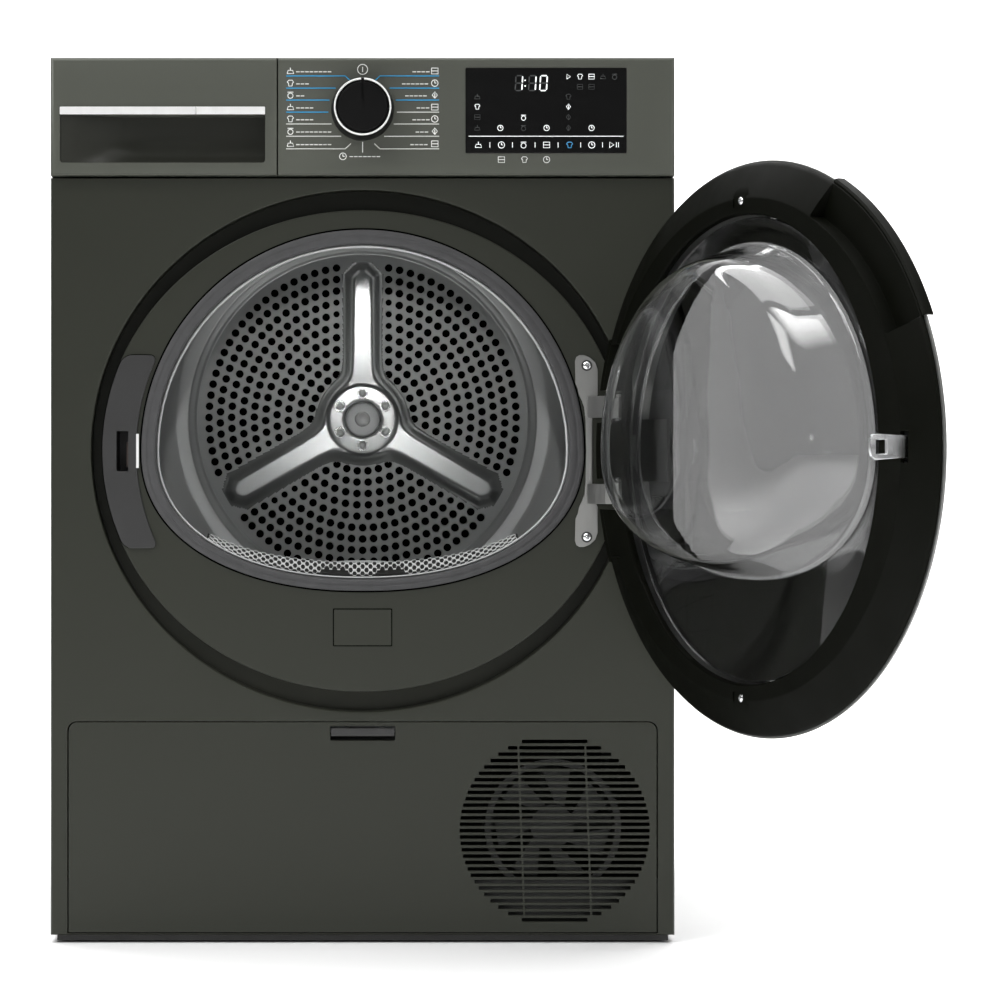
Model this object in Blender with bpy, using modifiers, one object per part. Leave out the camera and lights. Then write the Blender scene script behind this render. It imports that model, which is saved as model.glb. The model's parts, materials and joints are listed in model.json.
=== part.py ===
"""A front-loading heat-pump clothes dryer that stands on its feet, with its round door open.

X runs to the right as the user faces it, Y towards the wall behind it and Z up. The origin is on the
floor under the middle of the cabinet. Lengths are in metres.
"""

import math

import bmesh
import bpy
from mathutils import Matrix, Vector

# Cabinet
WIDTH = 0.598
HEIGHT = 0.850
BODY_DEPTH = 0.560
HALF = WIDTH / 2
FRONT = -BODY_DEPTH / 2
BACK = BODY_DEPTH / 2
SHEET = 0.0015
GAP = 0.0003

BASE_UNDERSIDE = 0.002
BASE_TOP = 0.060
BASE_FLOOR = 0.006
PANEL_BOTTOM = 0.0075
PANEL_TOP = 0.733
SIDE_FRONT = -0.2617
REAR_SHEET = 0.2788
WORKTOP_BOTTOM = 0.829

# Door, loading opening and the groove that the door's rim covers
OPENING_Z = 0.4714
SEAL_RADIUS = 0.213
SEAL_DROP = 0.135
LOWER_CURVE = 2.2
DOOR_HALF_WIDTH = 0.261
DOOR_HALF_HEIGHT = 0.251
GROOVE_FLOOR = -0.268
HINGE_X = 0.240
HINGE_Y = -0.306
DOOR_OPEN = math.radians(116.5)
KNUCKLES = ((0.421, 0.440), (0.503, 0.5235))
HINGE_BORE = 0.0033
KNUCKLE_ARM = (
    (0.2150, -0.2805),
    (0.2150, -0.2900),
    (0.2300, -0.3100),
    (0.2400, -0.3120),
    (0.2465, -0.3060),
    (0.2440, -0.2990),
    (0.2320, -0.2960),
    (0.2245, -0.2880),
    (0.2225, -0.2805),
)
GRIP_START = 118
GRIP_END = 154
GRIP_FLOOR = -0.2975

# Control panel and water tank
FASCIA_FRONT = -0.288
FASCIA_BACK = -0.2625
FASCIA_BOTTOM = 0.7345
FASCIA_TOP = 0.848
DRAWER_SPLIT = -0.0815
KNOB_Z = 0.7974
DISPLAY = (0.0983, 0.7557, 0.2519, 0.837)

# Drum and its drive
DRUM_Z = 0.510
DRUM_RADIUS = 0.272
DRUM_FRONT = -0.213
DRUM_REAR = 0.228
BELT_FRONT = 0.053
BELT_BACK = 0.067
MOTOR_X = 0.160
MOTOR_Z = 0.150
PULLEY_RADIUS = 0.012
ROLLER_RADIUS = 0.030
ROLLER_ANGLE = math.radians(35)
IDLER_RADIUS = 0.014
IDLER_PIVOT = (0.070, 0.085)

# Base unit behind the service flap
FLAP_HALF = 0.2815
FLAP_BOTTOM = 0.0105
FLAP_TOP = 0.2118
FLAP_AXIS = (-0.2770, 0.022)
GRILLE_X = 0.1839
GRILLE_Z = 0.1079
GRILLE_RADIUS = 0.091
SLOT_PITCH = 0.0061
SLOT_COUNT = 29

PARTS = "clothes_dryer"
CUTTERS = "cutters"

# Base colour, roughness and metallic value of each kind of surface
FINISHES = {
    "paint": ((0.053, 0.054, 0.047), 0.42, 0.3),
    "dark_plastic": ((0.060, 0.060, 0.058), 0.5, 0.0),
    "fascia": ((0.095, 0.096, 0.088), 0.45, 0.1),
    "black_gloss": ((0.006, 0.006, 0.006), 0.12, 0.0),
    "black_plastic": ((0.008, 0.008, 0.007), 0.45, 0.0),
    "chrome": ((0.80, 0.80, 0.80), 0.12, 1.0),
    "steel": ((0.55, 0.55, 0.54), 0.32, 1.0),
    "zinc": ((0.48, 0.49, 0.50), 0.45, 0.9),
    "light_plastic": ((0.62, 0.63, 0.62), 0.5, 0.0),
    "tank_plastic": ((0.70, 0.72, 0.74), 0.35, 0.0),
    "rubber": ((0.050, 0.050, 0.050), 0.8, 0.0),
    "felt": ((0.30, 0.30, 0.29), 0.95, 0.0),
    "glass": ((0.75, 0.77, 0.78), 0.05, 0.0),
    "smoked": ((0.03, 0.03, 0.03), 0.06, 0.0),
    "copper": ((0.72, 0.35, 0.20), 0.3, 1.0),
    "aluminium": ((0.62, 0.63, 0.65), 0.4, 1.0),
    "board": ((0.02, 0.16, 0.07), 0.5, 0.0),
    "black_metal": ((0.02, 0.02, 0.02), 0.4, 0.6),
}

# Which way a flat outline's first and second coordinate and its thickness run
FACING_FRONT = Matrix(((1, 0, 0, 0), (0, 0, -1, 0), (0, 1, 0, 0), (0, 0, 0, 1)))
FACING_UP = Matrix.Identity(4)


# Tools ------------------------------------------------------------------------------------------


def clear_scene():
    for item in list(bpy.data.objects):
        bpy.data.objects.remove(item, do_unlink=True)
    for name in (PARTS, CUTTERS):
        bpy.context.scene.collection.children.link(bpy.data.collections.new(name))


def paint(item, finish):
    colour, roughness, metallic = FINISHES[finish]
    material = bpy.data.materials.new(item.name)
    material.use_nodes = True
    shader = material.node_tree.nodes["Principled BSDF"]
    shader.inputs["Base Color"].default_value = (*colour, 1.0)
    shader.inputs["Roughness"].default_value = roughness
    shader.inputs["Metallic"].default_value = metallic
    item.data.materials.append(material)


def make(name, mesh, finish):
    """A part of the dryer or, without a finish, a helper that a Boolean uses."""
    item = bpy.data.objects.new(name, mesh)
    if finish:
        bpy.data.collections[PARTS].objects.link(item)
        paint(item, finish)
    else:
        bpy.data.collections[CUTTERS].objects.link(item)
        item.hide_render = True
        item.display_type = "WIRE"
    return item


def from_form(name, form, finish):
    mesh = bpy.data.meshes.new(name)
    form.to_mesh(mesh)
    form.free()
    return make(name, mesh, finish)


def box(name, low, high, finish=None):
    low = Vector(low)
    high = Vector(high)
    form = bmesh.new()
    place = Matrix.Translation((low + high) / 2) @ Matrix.Diagonal((*(high - low), 1.0))
    bmesh.ops.create_cube(form, size=1.0, matrix=place)
    return from_form(name, form, finish)


def cylinder(name, start, end, radius, finish=None, sides=28):
    start = Vector(start)
    run = Vector(end) - start
    turn = Vector((0, 0, 1)).rotation_difference(run).to_matrix().to_4x4()
    form = bmesh.new()
    bmesh.ops.create_cone(
        form,
        cap_ends=True,
        segments=sides,
        radius1=radius,
        radius2=radius,
        depth=run.length,
        matrix=Matrix.Translation(start + run / 2) @ turn,
    )
    return smooth(from_form(name, form, finish))


def smooth(item):
    item.data.shade_smooth()
    item.data.set_sharp_from_angle(angle=math.radians(35))
    return item


def mesh_from_curve(name, curve, place):
    """The curve's surface as one welded mesh in world space."""
    guide = bpy.data.objects.new(name, curve)
    bpy.data.collections[CUTTERS].objects.link(guide)
    graph = bpy.context.evaluated_depsgraph_get()
    mesh = bpy.data.meshes.new_from_object(guide.evaluated_get(graph))
    form = bmesh.new()
    form.from_mesh(mesh)
    bmesh.ops.remove_doubles(form, verts=form.verts, dist=1e-6)
    bmesh.ops.recalc_face_normals(form, faces=form.faces)
    form.to_mesh(mesh)
    form.free()
    mesh.transform(place)
    bpy.data.objects.remove(guide, do_unlink=True)
    bpy.data.curves.remove(curve)
    return mesh


def flat(name, outlines, low, high, finish=None, facing=FACING_FRONT):
    """A plate with the first outline's shape and the others as holes, from low to high across it."""
    curve = bpy.data.curves.new(name, "CURVE")
    curve.dimensions = "2D"
    curve.fill_mode = "BOTH"
    curve.extrude = (high - low) / 2
    for outline in outlines:
        spline = curve.splines.new("POLY")
        spline.points.add(len(outline) - 1)
        spline.use_cyclic_u = True
        for point, (across, up) in zip(spline.points, outline):
            point.co = (across, up, 0.0, 1.0)
    middle = (low + high) / 2
    offset = (0, 0, middle) if facing == FACING_UP else (0, middle, 0)
    return make(name, mesh_from_curve(name, curve, Matrix.Translation(offset) @ facing), finish)


def tube(name, route, radius, finish=None):
    curve = bpy.data.curves.new(name, "CURVE")
    curve.dimensions = "3D"
    curve.bevel_depth = radius
    curve.bevel_resolution = 2
    curve.use_fill_caps = True
    spline = curve.splines.new("POLY")
    spline.points.add(len(route) - 1)
    for point, place in zip(spline.points, route):
        point.co = (*place, 1.0)
    return make(name, mesh_from_curve(name, curve, Matrix.Identity(4)), finish)


def smooth_route(corners, steps=5):
    """A Catmull-Rom curve through the corners of a pipe's route."""
    points = [Vector(corner) for corner in corners]
    points = [points[0] * 2 - points[1], *points, points[-1] * 2 - points[-2]]
    route = []
    for before, start, end, after in zip(points, points[1:], points[2:], points[3:]):
        for step in range(steps):
            t = step / steps
            route.append(
                0.5
                * (
                    2 * start
                    + (end - before) * t
                    + (2 * before - 5 * start + 4 * end - after) * t**2
                    + (3 * start - before - 3 * end + after) * t**3
                )
            )
    return [*route, points[-2]]


def turned(name, profile, centre, towards, finish=None, sides=40, closed=False):
    """(radius, height) points, down the outer side, turned about an axis through the centre."""
    form = bmesh.new()
    points = [form.verts.new((radius, 0, height)) for radius, height in profile]
    for start, end in zip(points, points[1:]):
        form.edges.new((start, end))
    if closed:
        form.edges.new((points[-1], points[0]))
    item = from_form(name, form, finish)
    turn = Vector((0, 0, 1)).rotation_difference(Vector(towards)).to_matrix().to_4x4()
    item.matrix_world = Matrix.Translation(centre) @ turn
    screw = item.modifiers.new("turn", "SCREW")
    screw.steps = sides
    screw.render_steps = sides
    screw.use_merge_vertices = True
    screw.merge_threshold = 1e-5
    return item


def loft(name, rings, finish=None, wall=None, cap=False, closed=False):
    """A skin over rings of equally many points, given a wall, or closed end to start as a solid ring."""
    form = bmesh.new()
    rows = [[form.verts.new(point) for point in ring] for ring in rings]
    pairs = list(zip(rows, rows[1:]))
    if closed:
        pairs.append((rows[-1], rows[0]))
    for row, following in pairs:
        for i in range(len(row)):
            j = (i + 1) % len(row)
            form.faces.new((row[i], row[j], following[j], following[i]))
    if cap:
        form.faces.new(rows[-1])
    bmesh.ops.recalc_face_normals(form, faces=form.faces)
    item = smooth(from_form(name, form, finish))
    if wall:
        shell = item.modifiers.new("wall", "SOLIDIFY")
        shell.thickness = abs(wall)
        shell.offset = math.copysign(1, wall)
        shell.use_even_offset = True
    return item


def boolean(item, others, operation):
    for other in others:
        step = item.modifiers.new(operation.lower(), "BOOLEAN")
        step.operation = operation
        step.object = other
    return item


def cut(item, *others):
    return boolean(item, others, "DIFFERENCE")


def join(item, *others):
    return boolean(item, others, "UNION")


def bevel(item, width, segments=2):
    step = item.modifiers.new("bevel", "BEVEL")
    step.width = width
    step.segments = segments
    step.limit_method = "ANGLE"
    step.angle_limit = math.radians(50)
    return item


def pivot(item, point):
    """Moves the object's origin to a point on its joint's axis."""
    item.data.transform(Matrix.Translation(-Vector(point)) @ item.matrix_world)
    item.matrix_world = Matrix.Translation(point)
    return item


# Outlines, as (across, up) points ------------------------------------------------------------------


def rectangle(left, bottom, right, top):
    return [(left, bottom), (right, bottom), (right, top), (left, top)]


def rounded(left, bottom, right, top, lower, upper, steps=4):
    """A rectangle whose lower and upper corners have these radii."""
    corners = (
        (right - lower, bottom + lower, lower, -90),
        (right - upper, top - upper, upper, 0),
        (left + upper, top - upper, upper, 90),
        (left + lower, bottom + lower, lower, 180),
    )
    outline = []
    for x, z, radius, start in corners:
        for step in range(steps + 1 if radius else 1):
            angle = math.radians(start + 90 * step / steps)
            outline.append((x + radius * math.cos(angle), z + radius * math.sin(angle)))
    return outline


def ellipse(half_width, half_height, count=56, centre=(0.0, OPENING_Z)):
    turns = [math.tau * i / count for i in range(count)]
    return [
        (centre[0] + half_width * math.cos(turn), centre[1] + half_height * math.sin(turn))
        for turn in turns
    ]


def circle(x, z, radius, count=32):
    return ellipse(radius, radius, count, (x, z))


def opening(radius, drop, count=56):
    """A half circle above the opening's centre and a flatter, squarer curve below it."""
    outline = []
    for i in range(count):
        across = math.cos(math.tau * i / count)
        up = math.sin(math.tau * i / count)
        power = 2 / LOWER_CURVE if up < 0 else 1
        height = radius if up >= 0 else drop
        x = math.copysign(abs(across) ** power, across) * radius
        z = math.copysign(abs(up) ** power, up) * height
        outline.append((x, OPENING_Z + z))
    return outline


def opening_half_width(radius, drop, z):
    """How far the opening's outline is from the middle at a height."""
    if z >= OPENING_Z:
        return math.sqrt(radius**2 - (z - OPENING_Z) ** 2)
    return radius * (1 - ((OPENING_Z - z) / drop) ** LOWER_CURVE) ** (1 / LOWER_CURVE)


def box_around(left, bottom, right, top, count=56):
    """A rectangle whose points lie where rays from the opening's centre, one for each ellipse point, cross it."""
    outline = []
    for i in range(count):
        turn = math.tau * i / count
        across = math.cos(turn)
        up = math.sin(turn)
        reach = []
        if abs(across) > 1e-9:
            reach.append((right if across > 0 else left) / across)
        if abs(up) > 1e-9:
            reach.append(((top if up > 0 else bottom) - OPENING_Z) / up)
        outline.append((across * min(reach), OPENING_Z + up * min(reach)))
    for corner in rectangle(left, bottom, right, top):
        nearest = min(range(count), key=lambda i: math.dist(outline[i], corner))
        outline[nearest] = corner
    return outline


def round_two_circles(first, first_radius, second, second_radius, count=64):
    """The loop that a tight band makes around two circles."""
    across = second[0] - first[0]
    up = second[1] - first[1]
    heading = math.atan2(up, across)
    spread = math.acos((first_radius - second_radius) / math.hypot(across, up))
    outline = []
    for i in range(count + 1):
        turn = heading + spread + (math.tau - 2 * spread) * i / count
        outline.append((first[0] + first_radius * math.cos(turn), first[1] + first_radius * math.sin(turn)))
    small = count // 5
    for i in range(small + 1):
        turn = heading - spread + 2 * spread * i / small
        outline.append(
            (second[0] + second_radius * math.cos(turn), second[1] + second_radius * math.sin(turn))
        )
    return outline


def at_depth(outline, y):
    return [(x, y, z) for x, z in outline]


# Cabinet -------------------------------------------------------------------------------------------


def base_tray():
    tray = box("base_tray", (-0.293, -0.2595, BASE_UNDERSIDE), (0.293, 0.2767, BASE_TOP), "black_plastic")
    lip = box("base_lip", (-0.293, -0.274, BASE_UNDERSIDE), (0.293, -0.258, 0.0070))
    hollow = box("base_hollow", (-0.289, -0.2555, BASE_FLOOR), (0.289, 0.2727, BASE_TOP + 0.01))
    pad = box("base_pad", (-0.060, -0.030, 0.0012), (0.060, 0.030, 0.004))
    join(tray, lip)
    cut(tray, hollow)
    join(tray, pad)
    for side in (-1, 1):
        x = 0.255 * side
        join(tray, cylinder("rear_pad", (x, 0.235, 0.0), (x, 0.235, 0.005), 0.020))
        join(tray, cylinder("foot_boss", (x, -0.222, 0.0032), (x, -0.222, 0.042), 0.026))
        cut(tray, cylinder("foot_pocket", (x, -0.222, -0.010), (x, -0.222, 0.013), 0.0215))
        cut(tray, cylinder("foot_hole", (x, -0.222, 0.010), (x, -0.222, 0.050), 0.0056, sides=16))


def feet():
    for side, name in ((-1, "foot_front_left"), (1, "foot_front_right")):
        x = 0.255 * side
        profile = ((0, 0.036), (0.005, 0.036), (0.005, 0.010), (0.017, 0.010), (0.019, 0.008), (0.019, 0), (0, 0))
        turned(name, profile, (x, -0.222, 0), (0, 0, 1), "rubber", sides=24)


def side_panels():
    for side, name in ((-1, "left_side_panel"), (1, "right_side_panel")):
        front_flange = 0.012
        rear_flange = 0.014
        section = [
            (HALF, SIDE_FRONT),
            (HALF, REAR_SHEET - GAP),
            (HALF - rear_flange, REAR_SHEET - GAP),
            (HALF - rear_flange, REAR_SHEET - GAP - SHEET),
            (HALF - SHEET, REAR_SHEET - GAP - SHEET),
            (HALF - SHEET, SIDE_FRONT + SHEET),
            (HALF - front_flange, SIDE_FRONT + SHEET),
            (HALF - front_flange, SIDE_FRONT),
        ]
        outline = [(side * x, y) for x, y in section]
        flat(name, [outline], 0.008, WORKTOP_BOTTOM - GAP, "paint", FACING_UP)


def rear_panel():
    holes = [circle(0, DRUM_Z, 0.185, 48), circle(MOTOR_X, MOTOR_Z, 0.070)]
    edge = rectangle(-0.297, 0.010, 0.297, WORKTOP_BOTTOM - GAP)
    flat("rear_panel", [edge, *holes], REAR_SHEET, REAR_SHEET + SHEET, "zinc")


def rear_duct_cover():
    """The dished cover that leads the hot air from the fan up to the back of the drum."""

    def ring(inset, y):
        shape = round_two_circles((0, DRUM_Z), 0.235 - inset, (0.140, 0.165), 0.095 - inset, 48)
        return at_depth(shape, y)

    start = REAR_SHEET + SHEET + GAP
    rings = (ring(-0.010, start + 0.0012), ring(0, start + 0.0012), ring(0.004, start + 0.015), ring(0.016, start + 0.022))
    loft("rear_duct_cover", rings, "zinc", wall=-0.0012, cap=True)


def worktop():
    top = box("worktop", (-HALF, FASCIA_BACK + GAP, WORKTOP_BOTTOM), (HALF, 0.2803, HEIGHT), "paint")
    bevel(top, 0.0025)


def front_panel():
    """The painted front sheet: folded edges, a groove for the door's rim and a turned-in opening."""
    folds = ((0, SIDE_FRONT - GAP), (0, FRONT + 0.0035), (0.001, FRONT + 0.001), (0.0035, FRONT))
    rings = [
        at_depth(box_around(inset - HALF, PANEL_BOTTOM + inset, HALF - inset, PANEL_TOP - inset), y)
        for inset, y in folds
    ]
    rings += [
        at_depth(ellipse(0.2604, 0.2504), FRONT),
        at_depth(ellipse(0.2596, 0.2496), GROOVE_FLOOR),
        at_depth(ellipse(0.2502, 0.2311), GROOVE_FLOOR),
        at_depth(ellipse(0.2494, 0.2303), FRONT),
        at_depth(opening(0.205, 0.128), FRONT),
        at_depth(opening(0.205, 0.128), -0.2645),
    ]
    panel = loft("front_panel", rings, "paint", wall=-SHEET)
    flap_hole = box("flap_hole", (-0.2827, -0.29, 0.0095), (0.2827, -0.270, 0.2126))
    lock_hole = box("lock_hole", (-0.2390, -0.29, 0.4485), (-0.2205, -0.27, 0.4940))
    cut(panel, flap_hole, lock_hole)


def door_seal():
    face = [opening(SEAL_RADIUS, SEAL_DROP), opening(0.1985, 0.123)]
    lip = [opening(0.2043, 0.1273), opening(0.1985, 0.123)]
    seal = flat("door_seal", face, -0.2833, FRONT - GAP, "rubber")
    join(seal, flat("seal_lip", lip, -0.2820, -0.2600))


def lock_plate():
    """The crescent beside the opening, with the socket for the door's hook behind it."""
    low = 0.3784
    high = 0.5630
    steps = 14
    heights = [low + (high - low) * i / steps for i in range(steps + 1)]
    trim = [0.006 if i in (0, steps) else 0.0015 if i in (1, steps - 1) else 0 for i in range(steps + 1)]
    outer = [
        (-0.2484 * math.sqrt(1 - ((z - OPENING_Z) / 0.2293) ** 2) + cut_back, z)
        for z, cut_back in zip(heights, trim)
    ]
    inner = [(-opening_half_width(0.2165, 0.1385, z) - cut_back, z) for z, cut_back in zip(heights, trim)]
    inner[0] = (inner[0][0] - 0.018, low)
    inner[1] = (inner[1][0] - 0.006, heights[1])
    plate = flat("lock_plate", [outer + inner[::-1]], -0.2830, FRONT - GAP, "dark_plastic")
    join(plate, box("lock_socket", (-0.2385, -0.2820, 0.4490), (-0.2210, -0.2400, 0.4935)))
    cut(plate, box("lock_slot", (-0.2355, -0.29, 0.4520), (-0.2240, -0.2430, 0.4905)))


# Control panel and water tank ------------------------------------------------------------------------


def control_fascia():
    shell = box(
        "control_fascia",
        (DRAWER_SPLIT + GAP, FASCIA_FRONT, FASCIA_BOTTOM),
        (0.2985, FASCIA_BACK, FASCIA_TOP),
        "fascia",
    )
    bevel(shell, 0.003)
    hollow = box("fascia_hollow", (-0.0777, FASCIA_FRONT + 0.0035, 0.738), (0.2950, -0.25, 0.8445))
    left, bottom, right, top = DISPLAY
    pocket = box("display_pocket", (left - GAP, -0.30, bottom - GAP), (right + GAP, -0.2857, top + GAP))
    light_way = box("display_way", (left + 0.004, -0.30, bottom + 0.004), (right - 0.004, -0.27, top - 0.004))
    shaft_way = cylinder("shaft_way", (0, -0.30, KNOB_Z), (0, -0.27, KNOB_Z), 0.010, sides=24)
    cut(shell, hollow, pocket, light_way, shaft_way)


def display_window():
    left, bottom, right, top = DISPLAY
    window = box("display_window", (left, -0.2882, bottom), (right, -0.2860, top), "black_gloss")
    bevel(window, 0.0006, 1)


def display_board():
    """The circuit board, with the display module and the selector's encoder on its front."""
    board = box("display_board", (-0.050, -0.2760, 0.745), (0.262, -0.2744, 0.840), "board")
    join(board, box("display_module", (0.105, -0.2840, 0.763), (0.245, -0.2750, 0.830)))
    join(board, box("encoder", (-0.009, -0.2840, KNOB_Z - 0.009), (0.009, -0.2750, KNOB_Z + 0.009)))
    join(board, cylinder("encoder_shaft", (0, -0.3005, KNOB_Z), (0, -0.283, KNOB_Z), 0.003, sides=16))


def program_knob():
    profile = (
        (0, 0.0255),
        (0.0262, 0.0255),
        (0.0283, 0.0238),
        (0.0300, 0.0010),
        (0.0296, 0),
        (0.0034, 0),
        (0.0034, 0.0140),
        (0, 0.0140),
    )
    knob = turned("program_knob", profile, (0, FASCIA_FRONT - 0.0006, KNOB_Z), (0, -1, 0), "black_plastic")
    pointer = box("pointer_groove", (-0.0018, -0.3200, KNOB_Z + 0.016), (0.0018, -0.3130, KNOB_Z + 0.032))
    cut(knob, pointer)


def water_drawer():
    """The drawer's front, its bright strip and the tank that hangs behind it."""
    front = box(
        "drawer_front",
        (-0.2985, FASCIA_FRONT, FASCIA_BOTTOM),
        (DRAWER_SPLIT, FASCIA_BACK, FASCIA_TOP),
        "fascia",
    )
    bevel(front, 0.003)
    recess = flat("drawer_recess", [rounded(-0.289, 0.7466, -0.093, 0.7924, 0.006, 0.002)], -0.30, -0.2655)
    cut(front, recess)
    strip = box("tank_handle_trim", (-0.289, -0.2898, 0.7926), (-0.093, -0.2883, 0.8000), "chrome")
    bevel(strip, 0.0005, 1)

    section = [(-0.284, 0.750), (-0.100, 0.779), (-0.100, 0.825), (-0.284, 0.825)]
    space = [(-0.282, 0.7525), (-0.102, 0.7813), (-0.102, 0.823), (-0.282, 0.823)]
    tank = flat("water_tank", [section], FASCIA_BACK + GAP, 0.150, "tank_plastic")
    cut(tank, flat("tank_space", [space], -0.2600, 0.148))
    cut(tank, cylinder("tank_mouth", (-0.200, 0.110, 0.81), (-0.200, 0.110, 0.84), 0.012, sides=20))


def tank_guide():
    section = [
        (-0.2862, 0.7480),
        (-0.0980, 0.7775),
        (-0.0980, 0.8000),
        (-0.0960, 0.8000),
        (-0.0960, 0.7757),
        (-0.2862, 0.7460),
    ]
    flat("tank_guide", [section], -0.2550, 0.160, "light_plastic")


# Door ------------------------------------------------------------------------------------------------


def door_ring(shrink, y):
    """The door's own oval, made smaller all round, at a depth."""
    return at_depth(ellipse(DOOR_HALF_WIDTH - shrink, DOOR_HALF_HEIGHT - shrink), y)


def grip_ring(shrink, y):
    """The same, but level with the finger pocket's floor where a hand pulls the door open."""
    ring = door_ring(shrink, y)
    first = math.ceil(len(ring) * GRIP_START / 360)
    last = math.floor(len(ring) * GRIP_END / 360)
    for i in range(first, last + 1):
        ring[i] = (ring[i][0], GRIP_FLOOR, ring[i][2])
    return ring


def door_edge(shrink, z):
    """How far the door's oval reaches from the middle at a height."""
    return (DOOR_HALF_WIDTH - shrink) * math.sqrt(1 - ((z - OPENING_Z) / (DOOR_HALF_HEIGHT - shrink)) ** 2)


def hinge_notches():
    """Room in the door's edge for the bracket and its two knuckles as the door swings."""
    notches = [box("bracket_room", (0.196, -0.2940, 0.372), (0.275, -0.27, 0.571))]
    for low, high in KNUCKLES:
        notches.append(box("knuckle_room", (0.212, -0.3200, low - 0.005), (0.275, -0.28, high + 0.005)))
    return notches


def door_inner_frame(notches):
    rings = (
        grip_ring(0.0020, -0.2995),
        grip_ring(0.0040, -0.2968),
        grip_ring(0.0150, -0.2916),
        grip_ring(0.0315, -0.2846),
        door_ring(0.0345, -0.2838),
        at_depth(ellipse(0.197, 0.204), -0.2838),
        at_depth(ellipse(0.1965, 0.2035), -0.2885),
    )
    frame = loft("door_inner_frame", rings, "black_plastic", wall=-0.0025)
    heights = [OPENING_Z + 0.015 * step for step in range(-7, 8)]
    pocket = [(door_edge(0.0045, z), z) for z in heights]
    pocket += [(0.198, heights[-1]), (0.198, heights[0])]
    join(frame, flat("hinge_pocket", [pocket], -0.2975, -0.2943))
    hook_way = box("hook_way", (-0.2335, -0.295, 0.4600), (-0.2265, -0.27, 0.4850))
    cut(frame, *notches, hook_way)
    return frame


def door_outer_bezel(notches):
    section = (
        (0, -0.3010),
        (0.0006, -0.3032),
        (0.0060, -0.3076),
        (0.0190, -0.3180),
        (0.0330, -0.3280),
        (0.0450, -0.3330),
        (0.0460, -0.3290),
        (0.0345, -0.3245),
        (0.0210, -0.3150),
        (0.0080, -0.3050),
        (0.0040, -0.3020),
        (0.0034, -0.3010),
    )
    bezel = loft("door_outer_bezel", [door_ring(*point) for point in section], "paint", closed=True)
    cut(bezel, *notches)
    return bezel


def door_outer_window():
    half_width = DOOR_HALF_WIDTH - 0.0465
    half_height = DOOR_HALF_HEIGHT - 0.0465
    dome = 0.006
    rings = [
        at_depth(ellipse(half_width * share, half_height * share, 48), -0.3300 - dome * (1 - share**2))
        for share in (1, 0.9, 0.7, 0.4, 0.12)
    ]
    return loft("door_outer_window", rings, "smoked", wall=-0.0035, cap=True)


def door_glass_bowl():
    """Clear glass: a flat oval rim that turns into a deep bowl with the opening's own shape."""
    rings = [
        at_depth(ellipse(0.1945, 0.2015), -0.2925),
        at_depth(opening(0.1800, 0.1130), -0.2925),
        at_depth(opening(0.1765, 0.1095), -0.2890),
        at_depth(opening(0.1650, 0.0990), -0.2520),
        at_depth(opening(0.1600, 0.0945), -0.2420),
        at_depth(opening(0.1500, 0.0860), -0.2350),
        at_depth(opening(0.1100, 0.0600), -0.2290),
        at_depth(opening(0.0300, 0.0180), -0.2255),
    ]
    return loft("door_glass_bowl", rings, "glass", wall=0.0035, cap=True)


def latch_hook():
    hook = box("latch_hook", (-0.2315, -0.2915, 0.4620), (-0.2285, -0.2510, 0.4830), "steel")
    join(hook, box("hook_foot", (-0.2360, -0.2925, 0.4580), (-0.2180, -0.2905, 0.4870)))
    cut(hook, box("hook_eye", (-0.24, -0.2680, 0.4665), (-0.22, -0.2560, 0.4785)))
    return hook


def hinge_leaf():
    low = KNUCKLES[0][1] + 0.0025
    high = KNUCKLES[1][0] - 0.0025
    leaf = cylinder("hinge_leaf", (HINGE_X, HINGE_Y, low), (HINGE_X, HINGE_Y, high), 0.0055, "zinc", sides=24)
    join(leaf, box("leaf_plate", (0.150, -0.3105, low), (0.238, -0.3075, high)))
    bore = cylinder("leaf_bore", (HINGE_X, HINGE_Y, 0.40), (HINGE_X, HINGE_Y, 0.55), HINGE_BORE, sides=24)
    cut(leaf, bore)
    return leaf


def door():
    """Everything on the door, built shut, then swung open about the hinge pin."""
    axis = bpy.data.objects.new("door_axis", None)
    bpy.data.collections[PARTS].objects.link(axis)
    axis.location = (HINGE_X, HINGE_Y, OPENING_Z)
    before = set(bpy.data.objects)
    notches = hinge_notches()
    door_inner_frame(notches)
    door_outer_bezel(notches)
    door_outer_window()
    door_glass_bowl()
    latch_hook()
    hinge_leaf()
    shut = Matrix.Translation(axis.location)
    for item in set(bpy.data.objects) - before:
        item.parent = axis
        item.matrix_parent_inverse = shut.inverted()
    axis.rotation_euler.z = DOOR_OPEN


def hinge_bracket():
    """A plate with flared ends beside the opening, and two arms that hold the hinge pin."""
    middle = OPENING_Z
    half_height = 0.0918
    rights = ((0.2185, half_height), (0.2250, 0.0800), (0.2250, 0.0530), (0.2200, 0.0480))
    lefts = ((0.2140, 0), (0.2133, 0.0300), (0.2098, 0.0480), (0.2058, 0.0600), (0.2038, 0.0840), (0.2070, half_height))
    upper = [(x, middle + up) for x, up in (*rights[::-1], *lefts[::-1])]
    lower = [(x, middle - up) for x, up in (*lefts[1:], *rights)]
    bracket = flat("hinge_bracket", [upper + lower], -0.2818, FRONT - GAP, "zinc")
    for low, high in KNUCKLES:
        join(bracket, flat("knuckle_arm", [KNUCKLE_ARM], low, high, facing=FACING_UP))
    cut(bracket, cylinder("pin_way", (HINGE_X, HINGE_Y, 0.40), (HINGE_X, HINGE_Y, 0.55), HINGE_BORE, sides=24))


def hinge_pin():
    cylinder("hinge_pin", (HINGE_X, HINGE_Y, 0.4180), (HINGE_X, HINGE_Y, 0.5265), 0.0030, "steel", sides=20)


# Drum and drive ----------------------------------------------------------------------------------------


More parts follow.
